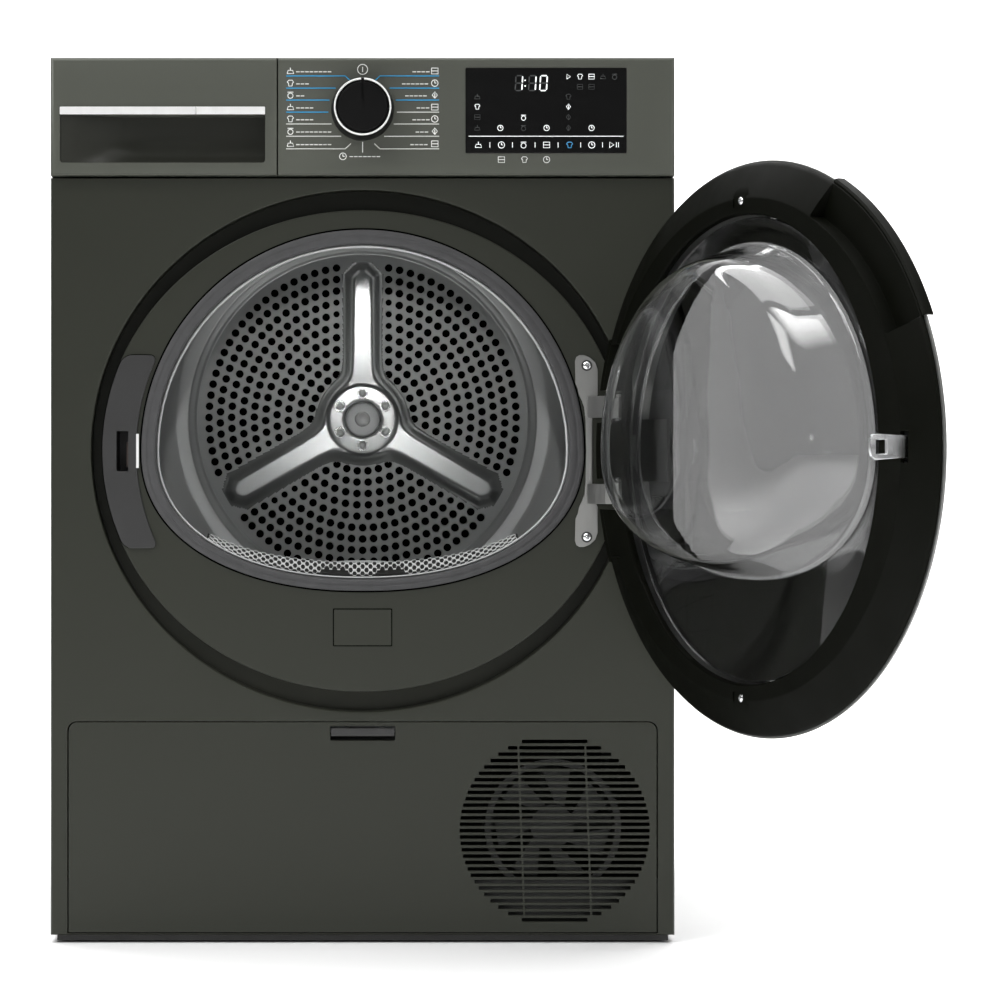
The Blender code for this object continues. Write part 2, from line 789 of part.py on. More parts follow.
def drum_shell():
    wall = 0.0015
    outer = DRUM_RADIUS
    inner = DRUM_RADIUS - wall
    bead = 0.003
    profile = [
        (outer, -DRUM_FRONT),
        (outer, 0.112),
        (outer + bead, 0.108),
        (outer + bead, 0.098),
        (outer, 0.094),
        (outer, -DRUM_REAR),
        (inner, -DRUM_REAR),
        (inner, 0.094 + wall),
        (inner + bead, 0.098 + wall / 2),
        (inner + bead, 0.108 - wall / 2),
        (inner, 0.112 - wall),
        (inner, -DRUM_FRONT),
    ]
    turned("drum_shell", profile, (0, 0, DRUM_Z), (0, -1, 0), "steel", sides=48, closed=True)


def drum_rear_wall():
    """The stepped rear wall, with the raised plate that the shaft is bolted to."""
    wall = 0.0014
    front = (
        (0.0010, -0.2290),
        (0.0340, -0.2290),
        (0.0370, -0.2330),
        (0.1890, -0.2330),
        (0.1970, -0.2262),
        (0.2680, -0.2262),
    )
    rim = ((0.2700, -0.2150), (0.2700, -0.2276))
    rear = [(radius + (wall / 2 if radius > 0.18 else 0), y - wall) for radius, y in front]
    rear[0] = (0, front[0][1] - wall)
    rear[-1] = (0.2670, front[-1][1] - wall)
    profile = [(0, front[0][1]), *front[1:], (0.2685, -0.2150), *rim, *reversed(rear)]
    turned("drum_rear_wall", profile, (0, 0, DRUM_Z), (0, -1, 0), "steel", sides=48)


def drum_shaft():
    profile = ((0, -0.2350), (0.050, -0.2350), (0.050, -0.2385), (0.0125, -0.2385), (0.0125, -0.2720), (0, -0.2720))
    turned("drum_shaft", profile, (0, 0, DRUM_Z), (0, -1, 0), "steel", sides=32)


def lifters():
    """Three hollow-looking paddles that tumble the load, a third of a turn apart."""
    foot = DRUM_RADIUS - 0.0015 - 0.0006
    for i, name in enumerate(("lifter_1", "lifter_2", "lifter_3")):
        section = [
            (-0.034, -foot * 0.9915),
            (-0.017, -foot * 0.9978),
            (0, -foot),
            (0.017, -foot * 0.9978),
            (0.034, -foot * 0.9915),
            (0.012, -0.236),
            (0.006, -0.232),
            (-0.006, -0.232),
            (-0.012, -0.236),
        ]
        paddle = flat(name, [section], -0.165, 0.190, "light_plastic")
        turn = Matrix.Rotation(math.radians(60 + 120 * i), 4, "Y")
        paddle.matrix_world = Matrix.Translation((0, 0, DRUM_Z)) @ turn


def front_bulkhead():
    """The ring that carries the front of the drum, with the throat, the filter chute and roller pins."""
    back = -0.219
    plate = flat(
        "front_bulkhead",
        [circle(0, DRUM_Z, 0.2695, 48), opening(0.2050, 0.1300)],
        -0.222,
        back,
        "light_plastic",
    )
    legs = flat("bulkhead_legs", [rectangle(-0.215, 0.235, 0.215, 0.320)], -0.222, back)
    collar = flat(
        "bulkhead_collar", [circle(0, DRUM_Z, 0.2622, 48), circle(0, DRUM_Z, 0.2590, 48)], -0.2205, -0.200
    )
    throat = flat("throat", [opening(0.2060, 0.1310), opening(0.1992, 0.1240)], -0.2595, back)
    chute = box("chute", (-0.104, -0.2590, 0.200), (0.104, -0.2210, 0.368))
    mouth = flat("throat_space", [opening(0.1992, 0.1240)], -0.27, -0.21)
    chute_space = box("chute_space", (-0.1015, -0.2563, 0.19), (0.1015, -0.2257, 0.38))
    join(plate, legs, collar, throat, chute)
    cut(plate, mouth, chute_space)
    for side in (-1, 1):
        x, z = roller_place(side)
        join(plate, cylinder("roller_pin", (x, -0.2210, z), (x, -0.1850, z), 0.005, sides=16))


def roller_place(side):
    reach = DRUM_RADIUS + ROLLER_RADIUS + GAP
    return side * reach * math.sin(ROLLER_ANGLE), DRUM_Z - reach * math.cos(ROLLER_ANGLE)


def drum_rollers():
    for side, name in ((-1, "drum_roller_left"), (1, "drum_roller_right")):
        x, z = roller_place(side)
        profile = [(ROLLER_RADIUS, 0.008), (ROLLER_RADIUS, -0.008), (0.0053, -0.008), (0.0053, 0.008)]
        turned(name, profile, (x, -0.2020, z), (0, -1, 0), "rubber", sides=32, closed=True)


def drum_felt_seal():
    ring = [circle(0, DRUM_Z, 0.2696, 48), circle(0, DRUM_Z, 0.2628, 48)]
    flat("drum_felt_seal", ring, -0.2120, -0.2030, "felt")


def lint_filter():
    """The filter that drops into the chute, its top curved like the throat's floor."""
    half = 0.1005
    top = [(x, OPENING_Z * 2 - opening_top(x)) for x in (half, 0.075, 0.050, 0.025, 0, -0.025, -0.050, -0.075, -half)]
    outline = [(-half, 0.215), (half, 0.215), *top]
    body = flat("lint_filter", [outline], -0.2553, -0.2267, "light_plastic")
    for side in (-1, 1):
        low, high = sorted((0.0065 * side, 0.030 * side))
        cut(body, box("finger_room", (low, -0.2520, 0.335), (high, -0.2380, 0.36)))


def opening_top(x):
    """Twice the centre's height less the throat floor's height at this distance from the middle."""
    drop = 0.1228 * (1 - abs(x / 0.1992) ** LOWER_CURVE) ** (1 / LOWER_CURVE)
    return OPENING_Z + drop


def bearing_housing():
    bar = box("bearing_housing", (-0.280, 0.2680, DRUM_Z - 0.025), (0.280, 0.2768, DRUM_Z + 0.025), "zinc")
    join(bar, cylinder("bearing_boss", (0, 0.2420, DRUM_Z), (0, 0.2700, DRUM_Z), 0.026))
    cut(bar, cylinder("bearing_bore", (0, 0.23, DRUM_Z), (0, 0.28, DRUM_Z), 0.0129))


def drive_belt():
    motor = (MOTOR_X, MOTOR_Z)
    slack = 0.0004
    thick = 0.002
    inner = round_two_circles((0, DRUM_Z), DRUM_RADIUS + slack, motor, PULLEY_RADIUS + slack)
    outer = round_two_circles((0, DRUM_Z), DRUM_RADIUS + slack + thick, motor, PULLEY_RADIUS + slack + thick)
    flat("drive_belt", [outer, inner], BELT_FRONT, BELT_BACK, "rubber")


def idler_place():
    """Where the idler wheel's middle lies, against the outside of the belt's lower run."""
    loop = round_two_circles(
        (0, DRUM_Z), DRUM_RADIUS + 0.0024, (MOTOR_X, MOTOR_Z), PULLEY_RADIUS + 0.0024
    )
    small = 64 // 5
    candidates = ((loop[0], loop[-1]), (loop[64], loop[-1 - small]))
    start, end = min(candidates, key=lambda run: run[0][0])
    share = 0.72
    x = start[0] + (end[0] - start[0]) * share
    z = start[1] + (end[1] - start[1]) * share
    length = math.dist(start, end)
    away = ((end[1] - start[1]) / length, -(end[0] - start[0]) / length)
    reach = IDLER_RADIUS + GAP
    return x + away[0] * reach, z + away[1] * reach


def idler():
    x, z = idler_place()
    profile = [(IDLER_RADIUS, 0.008), (IDLER_RADIUS, -0.008), (0.0034, -0.008), (0.0034, 0.008)]
    turned("idler_pulley", profile, (x, 0.060, z), (0, -1, 0), "dark_plastic", sides=24, closed=True)
    arm_shape = round_two_circles(IDLER_PIVOT, 0.010, (x, z), 0.0075, 20)
    arm = flat("idler_arm", [arm_shape], 0.0695, 0.0735, "zinc")
    join(arm, cylinder("idler_pin", (x, 0.0515, z), (x, 0.0710, z), 0.003, sides=16))
    post_way = cylinder(
        "post_way", (IDLER_PIVOT[0], 0.06, IDLER_PIVOT[1]), (IDLER_PIVOT[0], 0.08, IDLER_PIVOT[1]), 0.0045, sides=16
    )
    cut(arm, post_way)


def drive_motor():
    """The motor in its cradle, with the post that the belt's idler arm turns on."""
    motor = cylinder("drive_motor", (MOTOR_X, 0.085, MOTOR_Z), (MOTOR_X, 0.195, MOTOR_Z), 0.058, "black_metal")
    cradle = box("motor_cradle", (0.060, 0.105, BASE_FLOOR + GAP), (0.215, 0.175, 0.105))
    post = cylinder(
        "idler_post", (IDLER_PIVOT[0], 0.066, IDLER_PIVOT[1]), (IDLER_PIVOT[0], 0.12, IDLER_PIVOT[1]), 0.0042, sides=16
    )
    join(motor, cradle, post)
    cut(motor, cylinder("motor_bore", (MOTOR_X, 0.07, MOTOR_Z), (MOTOR_X, 0.21, MOTOR_Z), 0.0058, sides=20))


def motor_pulley():
    shaft = 0.005
    profile = (
        (0, -0.0400),
        (shaft, -0.0400),
        (shaft, -0.0500),
        (PULLEY_RADIUS, -0.0500),
        (PULLEY_RADIUS, -0.0700),
        (shaft, -0.0700),
        (shaft, -0.2480),
        (0, -0.2480),
    )
    turned("motor_pulley", profile, (MOTOR_X, 0, MOTOR_Z), (0, -1, 0), "steel", sides=24)


def blades(x, z, root, tip, count, lean):
    """An outline with this many swept blades around a hub."""
    outline = []
    for i in range(count):
        start = math.tau * i / count
        width = math.tau / count
        for radius, turn in ((root, 0), (tip, lean), (tip, lean + 0.55), (root, 0.45)):
            angle = start + width * turn
            outline.append((x + radius * math.cos(angle), z + radius * math.sin(angle)))
    return outline


def process_fan():
    fan = flat("process_fan", [blades(MOTOR_X, MOTOR_Z, 0.024, 0.066, 12, 0.5)], 0.2140, 0.2420, "dark_plastic")
    join(fan, cylinder("process_hub", (MOTOR_X, 0.2120, MOTOR_Z), (MOTOR_X, 0.2440, MOTOR_Z), 0.028))
    cut(fan, cylinder("process_bore", (MOTOR_X, 0.20, MOTOR_Z), (MOTOR_X, 0.26, MOTOR_Z), 0.0053, sides=24))


# Heat pump and service flap ----------------------------------------------------------------------------


def cooling_fan():
    fan = flat("cooling_fan", [blades(GRILLE_X, GRILLE_Z, 0.018, 0.056, 7, 0.4)], -0.2440, -0.2320, "dark_plastic")
    hub_front = (GRILLE_X, -0.2470, GRILLE_Z)
    join(fan, cylinder("cooling_hub", hub_front, (GRILLE_X, -0.2290, GRILLE_Z), 0.021))
    cut(fan, cylinder("cooling_bore", (GRILLE_X, -0.2420, GRILLE_Z), (GRILLE_X, -0.22, GRILLE_Z), 0.0034, sides=16))


def fan_shroud():
    """The ring around the cooling fan, with the bar that holds the fan's own small motor."""
    ring = [circle(GRILLE_X, GRILLE_Z, 0.0660, 40), circle(GRILLE_X, GRILLE_Z, 0.0600, 40)]
    shroud = flat("fan_shroud", ring, -0.2550, -0.2120, "dark_plastic")
    bar = box("fan_bar", (GRILLE_X - 0.062, -0.2180, GRILLE_Z - 0.008), (GRILLE_X + 0.062, -0.2125, GRILLE_Z + 0.008))
    foot = box("fan_foot", (GRILLE_X - 0.030, -0.2540, BASE_FLOOR + GAP), (GRILLE_X + 0.030, -0.2140, 0.0465))
    motor = cylinder("fan_motor", (GRILLE_X, -0.2260, GRILLE_Z), (GRILLE_X, -0.1950, GRILLE_Z), 0.020)
    spindle = cylinder("fan_spindle", (GRILLE_X, -0.2400, GRILLE_Z), (GRILLE_X, -0.2200, GRILLE_Z), 0.0030, sides=16)
    join(shroud, bar, foot, motor, spindle)


def compressor():
    profile = ((0, 0.200), (0.028, 0.197), (0.050, 0.182), (0.057, 0.160), (0.057, 0.045), (0.048, 0.025), (0, 0.020))
    can = turned("compressor", profile, (0.190, -0.060, 0), (0, 0, 1), "black_metal", sides=32)
    join(can, box("compressor_foot", (0.125, -0.120, BASE_FLOOR + GAP), (0.255, 0.000, 0.024)))


def heat_exchangers():
    for name, front in (("evaporator", -0.2360), ("condenser", -0.0950)):
        block = box(name, (-0.226, front, BASE_FLOOR + GAP), (0.030, front + 0.125, 0.190), "aluminium")
        for row in range(5):
            z = 0.035 + 0.030 * row
            bend = cylinder("tube_bend", (0.025, front + 0.030, z), (0.044, front + 0.030, z), 0.005, sides=12)
            join(block, bend)


def refrigerant_pipe():
    route = [
        (0.190, -0.060, 0.2005),
        (0.188, -0.060, 0.212),
        (0.165, -0.060, 0.220),
        (0.120, -0.060, 0.222),
        (0.080, -0.055, 0.215),
        (0.066, -0.045, 0.190),
        (0.0645, -0.035, 0.150),
        (0.062, -0.030, 0.120),
        (0.0560, -0.030, 0.112),
        (0.0310, -0.030, 0.110),
    ]
    tube("refrigerant_pipe", smooth_route(route, 4), 0.004, "copper")


def exchanger_cover():
    cover = flat(
        "exchanger_cover", [rounded(-0.265, 0.062, 0.045, 0.1985, 0.010, 0.010)], -0.2560, -0.2445, "dark_plastic"
    )
    cut(cover, flat("cover_dish", [rounded(-0.215, 0.076, -0.005, 0.186, 0.010, 0.010)], -0.27, -0.2510))


def cover_levers():
    for x, name in ((-0.240, "cover_lever_left"), (0.020, "cover_lever_right")):
        centre = (x, 0.115)
        lever = flat(name, [round_two_circles(centre, 0.011, (x, 0.160), 0.006, 20)], -0.2660, -0.2565, "light_plastic")
        pivot(lever, (x, -0.2610, 0.115))


def condensate_pump():
    pump = box("condensate_pump", (-0.272, 0.115, BASE_FLOOR + GAP), (-0.200, 0.200, 0.072), "dark_plastic")
    bevel(pump, 0.004)
    join(pump, cylinder("pump_spout", (-0.236, 0.160, 0.070), (-0.236, 0.160, 0.086), 0.0050, sides=16))


def drain_hose():
    route = [
        (-0.236, 0.160, 0.0866),
        (-0.236, 0.160, 0.120),
        (-0.245, 0.160, 0.170),
        (-0.272, 0.160, 0.230),
        (-0.285, 0.160, 0.300),
        (-0.285, 0.160, 0.500),
        (-0.285, 0.160, 0.640),
        (-0.280, 0.164, 0.700),
        (-0.262, 0.170, 0.732),
        (-0.240, 0.175, 0.750),
    ]
    tube("drain_hose", smooth_route(route, 4), 0.006, "rubber")


def service_flap():
    edge = rounded(-FLAP_HALF, FLAP_BOTTOM, FLAP_HALF, FLAP_TOP, 0, 0.0085)
    inset = 0.0025
    inside = rounded(-FLAP_HALF + inset, FLAP_BOTTOM + inset, FLAP_HALF - inset, FLAP_TOP - inset, 0, 0.006)
    flap = flat("service_flap", [edge], FRONT, FRONT + 0.0025, "paint")
    join(flap, flat("flap_rim", [edge, inside], FRONT + 0.0010, FRONT + 0.0100))
    cut(flap, box("catch_room", (-0.0310, -0.29, 0.1943), (0.0310, -0.2720, 0.2130)))
    cut(flap, grille_slots())


def grille_slots():
    """Level slots that together fill a circle."""
    form = bmesh.new()
    for i in range(SLOT_COUNT):
        z = (i - (SLOT_COUNT - 1) / 2) * SLOT_PITCH
        half = math.sqrt(GRILLE_RADIUS**2 - z**2)
        place = Matrix.Translation((GRILLE_X, FRONT, GRILLE_Z + z))
        bmesh.ops.create_cube(form, size=1.0, matrix=place @ Matrix.Diagonal((2 * half, 0.02, 0.0032, 1.0)))
    return from_form("grille_slots", form, None)


def flap_catch():
    catch = box("flap_catch", (-0.0303, -0.2830, 0.1985), (0.0303, -0.2728, 0.2062), "dark_plastic")
    bevel(catch, 0.0012)
    join(catch, box("catch_nose", (-0.0120, -0.2775, 0.2050), (0.0120, -0.2745, 0.2118)))


def mains_inlet():
    """The terminal cover at the back, with its cable gland pointing down and left empty."""
    start = REAR_SHEET + SHEET + GAP
    cover = box("mains_inlet", (-0.270, start, 0.110), (-0.200, start + 0.022, 0.165), "black_plastic")
    bevel(cover, 0.003)
    join(cover, cylinder("gland", (-0.235, start + 0.012, 0.090), (-0.235, start + 0.012, 0.112), 0.0090, sides=20))
    cut(cover, cylinder("gland_bore", (-0.235, start + 0.012, 0.080), (-0.235, start + 0.012, 0.125), 0.0045, sides=16))


def main():
    clear_scene()
    base_tray()
    feet()
    side_panels()
    rear_panel()
    rear_duct_cover()
    worktop()
    front_panel()
    door_seal()
    lock_plate()
    control_fascia()
    display_window()
    display_board()
    program_knob()
    water_drawer()
    tank_guide()
    door()
    hinge_bracket()
    hinge_pin()
    drum_shell()
    drum_rear_wall()
    drum_shaft()
    lifters()
    front_bulkhead()
    drum_rollers()
    drum_felt_seal()
    lint_filter()
    bearing_housing()
    drive_belt()
    idler()
    drive_motor()
    motor_pulley()
    process_fan()
    cooling_fan()
    fan_shroud()
    compressor()
    heat_exchangers()
    refrigerant_pipe()
    exchanger_cover()
    cover_levers()
    condensate_pump()
    drain_hose()
    service_flap()
    flap_catch()
    mains_inlet()


main()
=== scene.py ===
"""The looks of a front-loading clothes dryer with its round door open.

X runs to the right as the user faces it, Y towards the wall behind it and Z up, in metres. Pieces of the
door are built with the door shut and then swung open with it.
"""

import json
import math

import bmesh
import bpy
from mathutils import Matrix, Vector


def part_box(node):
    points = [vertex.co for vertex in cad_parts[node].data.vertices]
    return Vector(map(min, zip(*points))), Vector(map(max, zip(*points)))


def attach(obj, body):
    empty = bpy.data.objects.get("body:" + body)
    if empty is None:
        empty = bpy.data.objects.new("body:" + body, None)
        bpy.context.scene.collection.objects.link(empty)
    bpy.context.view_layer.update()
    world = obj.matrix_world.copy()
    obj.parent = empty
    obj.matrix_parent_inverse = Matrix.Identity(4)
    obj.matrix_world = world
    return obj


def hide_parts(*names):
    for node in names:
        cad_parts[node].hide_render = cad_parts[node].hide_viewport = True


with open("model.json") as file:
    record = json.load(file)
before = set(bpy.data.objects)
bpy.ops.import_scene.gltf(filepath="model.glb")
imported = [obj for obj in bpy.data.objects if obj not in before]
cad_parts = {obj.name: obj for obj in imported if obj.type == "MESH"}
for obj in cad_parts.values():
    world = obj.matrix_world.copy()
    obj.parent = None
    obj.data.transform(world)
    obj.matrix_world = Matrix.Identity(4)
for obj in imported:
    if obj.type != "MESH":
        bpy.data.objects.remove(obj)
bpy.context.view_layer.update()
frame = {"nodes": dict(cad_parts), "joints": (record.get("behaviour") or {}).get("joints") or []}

# Cabinet
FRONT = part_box("front_panel")[0].y
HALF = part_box("front_panel")[1].x
PANEL_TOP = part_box("front_panel")[1].z
PANEL_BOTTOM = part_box("front_panel")[0].z
FOLD_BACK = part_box("front_panel")[1].y
SHEET = 0.0015

# Loading opening, and the groove around it
OPENING_Z = 0.4714
SEAL_RADIUS = 0.213
SEAL_DROP = 0.135
LOWER_CURVE = 2.2
FINE = 192

# Door, as it is when shut
DOOR_HALF_WIDTH = 0.261
DOOR_HALF_HEIGHT = 0.251
DOOR_OPEN = math.radians(116.5)
KNUCKLES = ((0.421, 0.440), (0.503, 0.5235))
GRIP_START = 117.0
GRIP_END = 155.0

# Control panel
FASCIA_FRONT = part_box("control_fascia")[0].y
KNOB_Z = 0.7974

# Drum
DRUM_Z = 0.510
REAR_PLATE = 0.233
STAR_HEIGHT = 0.0052
ARM_LEAN = 0.018
ARM_HALF = 0.0098
ARM_END = 0.1665
HUB_RADIUS = 0.040
HOLE_RADIUS = 0.0044
SMALL_HOLE_RADIUS = 0.0036
HOLE_PITCH = 0.0127
FIRST_HOLE_RING = 0.0589
HOLE_RING_PITCH = 0.0129
HOLE_RINGS = 10
HOLE_ASIDE = 0.0297

# Lint filter, and the slope along the bottom of the opening
FILTER_HALF = 0.0970
RAMP_HALF = 0.151
RAMP_FRONT = -0.2590
RAMP_BACK = -0.2230
RAMP_RISE = 0.0122
SLOT_START = 0.0120
SLOT_END = 0.0400

# Service flap
GRILLE_X = 0.1839
GRILLE_Z = 0.1079
GRILLE_RADIUS = 0.091
SLOT_PITCH = 0.0061
SLOT_COUNT = 29
SLOT_HALF = 0.0017

FACING_FRONT = Matrix(((1, 0, 0, 0), (0, 0, -1, 0), (0, 1, 0, 0), (0, 0, 0, 1)))
FACING_SIDE = Matrix(((0, 0, 1, 0), (1, 0, 0, 0), (0, 1, 0, 0), (0, 0, 0, 1)))
FACING_UP = Matrix.Identity(4)


# Materials ------------------------------


def srgb(red, green, blue):
    """The linear colour of an 8-bit screen colour."""
    channels = (level / 255 for level in (red, green, blue))
    return tuple(c / 12.92 if c <= 0.04045 else ((c + 0.055) / 1.055) ** 2.4 for c in channels)


class Surface:
    """A Principled material with the nodes that break up its colour, gloss and surface."""

    def __init__(self, name, roughness, metallic=0.0):
        self.material = bpy.data.materials.new(name)
        self.material.use_nodes = True
        self.nodes = self.material.node_tree.nodes
        self.links = self.material.node_tree.links
        self.shader = self.nodes["Principled BSDF"]
        self.shader.inputs["Roughness"].default_value = roughness
        self.shader.inputs["Metallic"].default_value = metallic
        self.place = self.nodes.new("ShaderNodeTexCoord").outputs["Object"]
        self.bump = None

    def set(self, **values):
        for name, value in values.items():
            self.shader.inputs[name.replace("_", " ")].default_value = value
        return self

    def noise(self, scale, detail=3.0, stretch=None):
        place = self.place
        if stretch:
            mapping = self.nodes.new("ShaderNodeMapping")
            mapping.inputs["Scale"].default_value = stretch
            self.links.new(place, mapping.inputs["Vector"])
            place = mapping.outputs["Vector"]
        noise = self.nodes.new("ShaderNodeTexNoise")
        noise.inputs["Scale"].default_value = scale
        noise.inputs["Detail"].default_value = detail
        self.links.new(place, noise.inputs["Vector"])
        return noise.outputs["Fac"]

    def ramp(self, value, start, end, low=0.0, high=1.0):
        scale = self.nodes.new("ShaderNodeMapRange")
        scale.inputs["From Min"].default_value = start
        scale.inputs["From Max"].default_value = end
        scale.inputs["To Min"].default_value = low
        scale.inputs["To Max"].default_value = high
        self.links.new(value, scale.inputs["Value"])
        return scale.outputs["Result"]

    def mix(self, share, first, second):
        """Mixes two colours, either of which may be another node's output."""
        mix = self.nodes.new("ShaderNodeMix")
        mix.data_type = "RGBA"
        self.links.new(share, mix.inputs["Factor"])
        for socket, colour in ((mix.inputs["A"], first), (mix.inputs["B"], second)):
            if isinstance(colour, tuple):
                socket.default_value = (*colour, 1.0)
            else:
                self.links.new(colour, socket)
        return mix.outputs["Result"]

    def colours(self, value, dark, light):
        colour = self.mix(value, dark, light)
        self.links.new(colour, self.shader.inputs["Base Color"])
        return colour

    def rub_edges(self, colour, worn, amount=0.5):
        """Lightens sharp outer edges, where hands and cloths rub."""
        pointiness = self.nodes.new("ShaderNodeNewGeometry").outputs["Pointiness"]
        share = self.ramp(pointiness, 0.53, 0.62, 0.0, amount)
        self.links.new(self.mix(share, colour, worn), self.shader.inputs["Base Color"])
        return self

    def rough(self, value, low, high):
        self.links.new(self.ramp(value, 0.3, 0.7, low, high), self.shader.inputs["Roughness"])
        return self

    def raise_by(self, height, strength, distance=0.001):
        bump = self.nodes.new("ShaderNodeBump")
        bump.inputs["Strength"].default_value = strength
        bump.inputs["Distance"].default_value = distance
        self.links.new(height, bump.inputs["Height"])
        if self.bump:
            self.links.new(self.bump, bump.inputs["Normal"])
        self.bump = bump.outputs["Normal"]
        self.links.new(self.bump, self.shader.inputs["Normal"])
        return self


def tint(colour, share):
    """A colour made darker or lighter, channel by channel."""
    return tuple(min(1.0, channel * share) for channel in colour)


def enamel(name, colour, roughness=0.42):
    """Satin metallic enamel with a faint orange peel."""
    surface = Surface(name, roughness, 0.15)
    surface.set(Coat_Weight=0.06, Coat_Roughness=0.3, Specular_IOR_Level=0.35)
    cloud = surface.noise(5.0)
    base = surface.colours(cloud, tint(colour, 0.985), tint(colour, 1.015))
    surface.rub_edges(base, tint(colour, 1.4), 0.25)
    surface.rough(surface.noise(28.0), roughness - 0.015, roughness + 0.015)
    surface.raise_by(surface.noise(420.0, 1.0), 0.05, 0.0004)
    return surface.material


def groove_painted_shade(name):
    """The front's enamel in its groove, with painted shade: dark under the upper edge, where the lip shades
    it, and lighter along the bottom.
    """
    surface = Surface(name, 0.5)
    surface.set(Specular_IOR_Level=0.1)
    # Painted shade: the colour goes dark towards the groove's top and stays lighter along its bottom.
    split = surface.nodes.new("ShaderNodeSeparateXYZ")
    surface.links.new(surface.place, split.inputs["Vector"])
    height = surface.ramp(split.outputs["Z"], 0.24, 0.40)
    speckle = surface.mix(surface.noise(30.0), srgb(42, 43, 38), srgb(47, 48, 42))
    surface.colours(height, speckle, srgb(25, 26, 22))
    surface.rough(surface.noise(28.0), 0.45, 0.55)
    surface.raise_by(surface.noise(420.0, 1.0), 0.05, 0.0004)
    return surface.material


def moulding(name, colour, roughness=0.5, grain=520.0, depth=0.12, shine=0.5):
    """Moulded plastic with a fine spark-eroded grain."""
    surface = Surface(name, roughness)
    surface.set(Specular_IOR_Level=shine)
    cloud = surface.noise(9.0)
    base = surface.colours(cloud, tint(colour, 0.90), tint(colour, 1.10))
    surface.rub_edges(base, tint(colour, 2.0), 0.3)
    surface.rough(surface.noise(36.0), roughness - 0.07, roughness + 0.07)
    surface.raise_by(surface.noise(grain, 2.0), depth, 0.0005)
    return surface.material


def gloss(name, colour, roughness=0.07, coat=0.5):
    """Glossy plastic or printed glass with faint wiping marks."""
    surface = Surface(name, roughness)
    surface.set(Coat_Weight=coat, Coat_Roughness=0.04, Specular_IOR_Level=coat)
    base = surface.colours(surface.noise(6.0), tint(colour, 0.9), tint(colour, 1.1))
    surface.rub_edges(base, tint(colour, 4.0), 0.2)
    surface.rough(surface.noise(14.0, 4.0, (1, 1, 6)), roughness * 0.7, roughness * 1.8)
    return surface.material


def brushed(name, colour, roughness, stretch, scale=90.0, depth=0.25, metallic=1.0):
    """Bright metal with fine rolling or brushing lines along one direction."""
    surface = Surface(name, roughness, metallic)
    lines = surface.noise(scale, 5.0, stretch)
    base = surface.colours(lines, tint(colour, 0.86), tint(colour, 1.08))
    surface.rub_edges(base, tint(colour, 1.25), 0.5)
    surface.rough(lines, roughness - 0.08, roughness + 0.08)
    surface.raise_by(lines, depth, 0.0003)
    return surface.material


def pressed(name, colour, roughness, metallic=0.5):
    """Satin stainless sheet, very slightly wavy from the press."""
    surface = Surface(name, roughness, metallic)
    surface.colours(surface.noise(7.0), tint(colour, 0.97), tint(colour, 1.03))
    surface.rough(surface.noise(22.0, 1.0), roughness - 0.01, roughness + 0.01)
    surface.raise_by(surface.noise(9.0, 0.0), 0.03, 0.001)
    return surface.material


def chrome(name, roughness=0.08):
    """Plated metal, bright or satin."""
    surface = Surface(name, roughness, 1.0)
    colour = (0.86, 0.87, 0.88)
    surface.colours(surface.noise(30.0), tint(colour, 0.95), tint(colour, 1.05))
    surface.rough(surface.noise(60.0), roughness * 0.6, roughness * 1.6)
    return surface.material


def galvanised(name, share=1.0):
    """Zinc coating with its large pale crystals."""
    surface = Surface(name, 0.45, 0.85)
    cells = surface.nodes.new("ShaderNodeTexVoronoi")
    cells.inputs["Scale"].default_value = 55.0
    surface.links.new(surface.place, cells.inputs["Vector"])
    shade = surface.ramp(cells.outputs["Distance"], 0.0, 0.9)
    dark = tint((0.40, 0.41, 0.42), share)
    pale = tint((0.51, 0.52, 0.53), share)
    surface.colours(shade, dark, pale)
    surface.rough(surface.noise(40.0), 0.36, 0.56)
    surface.raise_by(cells.outputs["Distance"], 0.06, 0.0004)
    return surface.material


def rubber(name, colour):
    """Matt rubber, paler where it is rubbed."""
    surface = Surface(name, 0.7)
    surface.set(Sheen_Weight=0.08, Sheen_Roughness=0.4)
    base = surface.colours(surface.noise(12.0), tint(colour, 0.88), tint(colour, 1.12))
    surface.rub_edges(base, tint(colour, 1.9), 0.35)
    surface.rough(surface.noise(70.0), 0.58, 0.80)
    surface.raise_by(surface.noise(900.0, 2.0), 0.15, 0.0004)
    return surface.material


def felt(name):
    """Grey pressed fibre."""
    surface = Surface(name, 0.95)
    surface.set(Sheen_Weight=0.6, Sheen_Roughness=0.5)
    fibres = surface.noise(1400.0, 4.0, (1, 3, 1))
    surface.colours(fibres, (0.24, 0.24, 0.23), (0.42, 0.42, 0.41))
    surface.raise_by(fibres, 0.6, 0.001)
    return surface.material


def fins(name):
    """The stacked aluminium fins of a heat exchanger."""
    surface = Surface(name, 0.4, 1.0)
    wave = surface.nodes.new("ShaderNodeTexWave")
    wave.bands_direction = "X"
    wave.inputs["Scale"].default_value = 150.0
    surface.links.new(surface.place, wave.inputs["Vector"])
    surface.colours(wave.outputs["Fac"], (0.16, 0.16, 0.17), (0.68, 0.69, 0.71))
    surface.raise_by(wave.outputs["Fac"], 0.8, 0.001)
    return surface.material


def clear_glass(name):
    """Colourless glass that bends the light that passes through it."""
    surface = Surface(name, 0.02)
    surface.set(Transmission_Weight=1.0, IOR=1.45)
    surface.colours(surface.noise(4.0), (0.95, 0.96, 0.96), (1.0, 1.0, 1.0))
    surface.rough(surface.noise(12.0), 0.0, 0.03)
    return surface.material


def smoked_glass(name):
    """A dark tinted pane that lets about a quarter of the light through."""
    surface = Surface(name, 0.05)
    surface.set(Alpha=0.69, Coat_Weight=0.3, Coat_Roughness=0.03)
    surface.colours(surface.noise(5.0), (0.006, 0.006, 0.006), (0.010, 0.010, 0.010))
    surface.rough(surface.noise(14.0), 0.03, 0.08)
    return surface.material


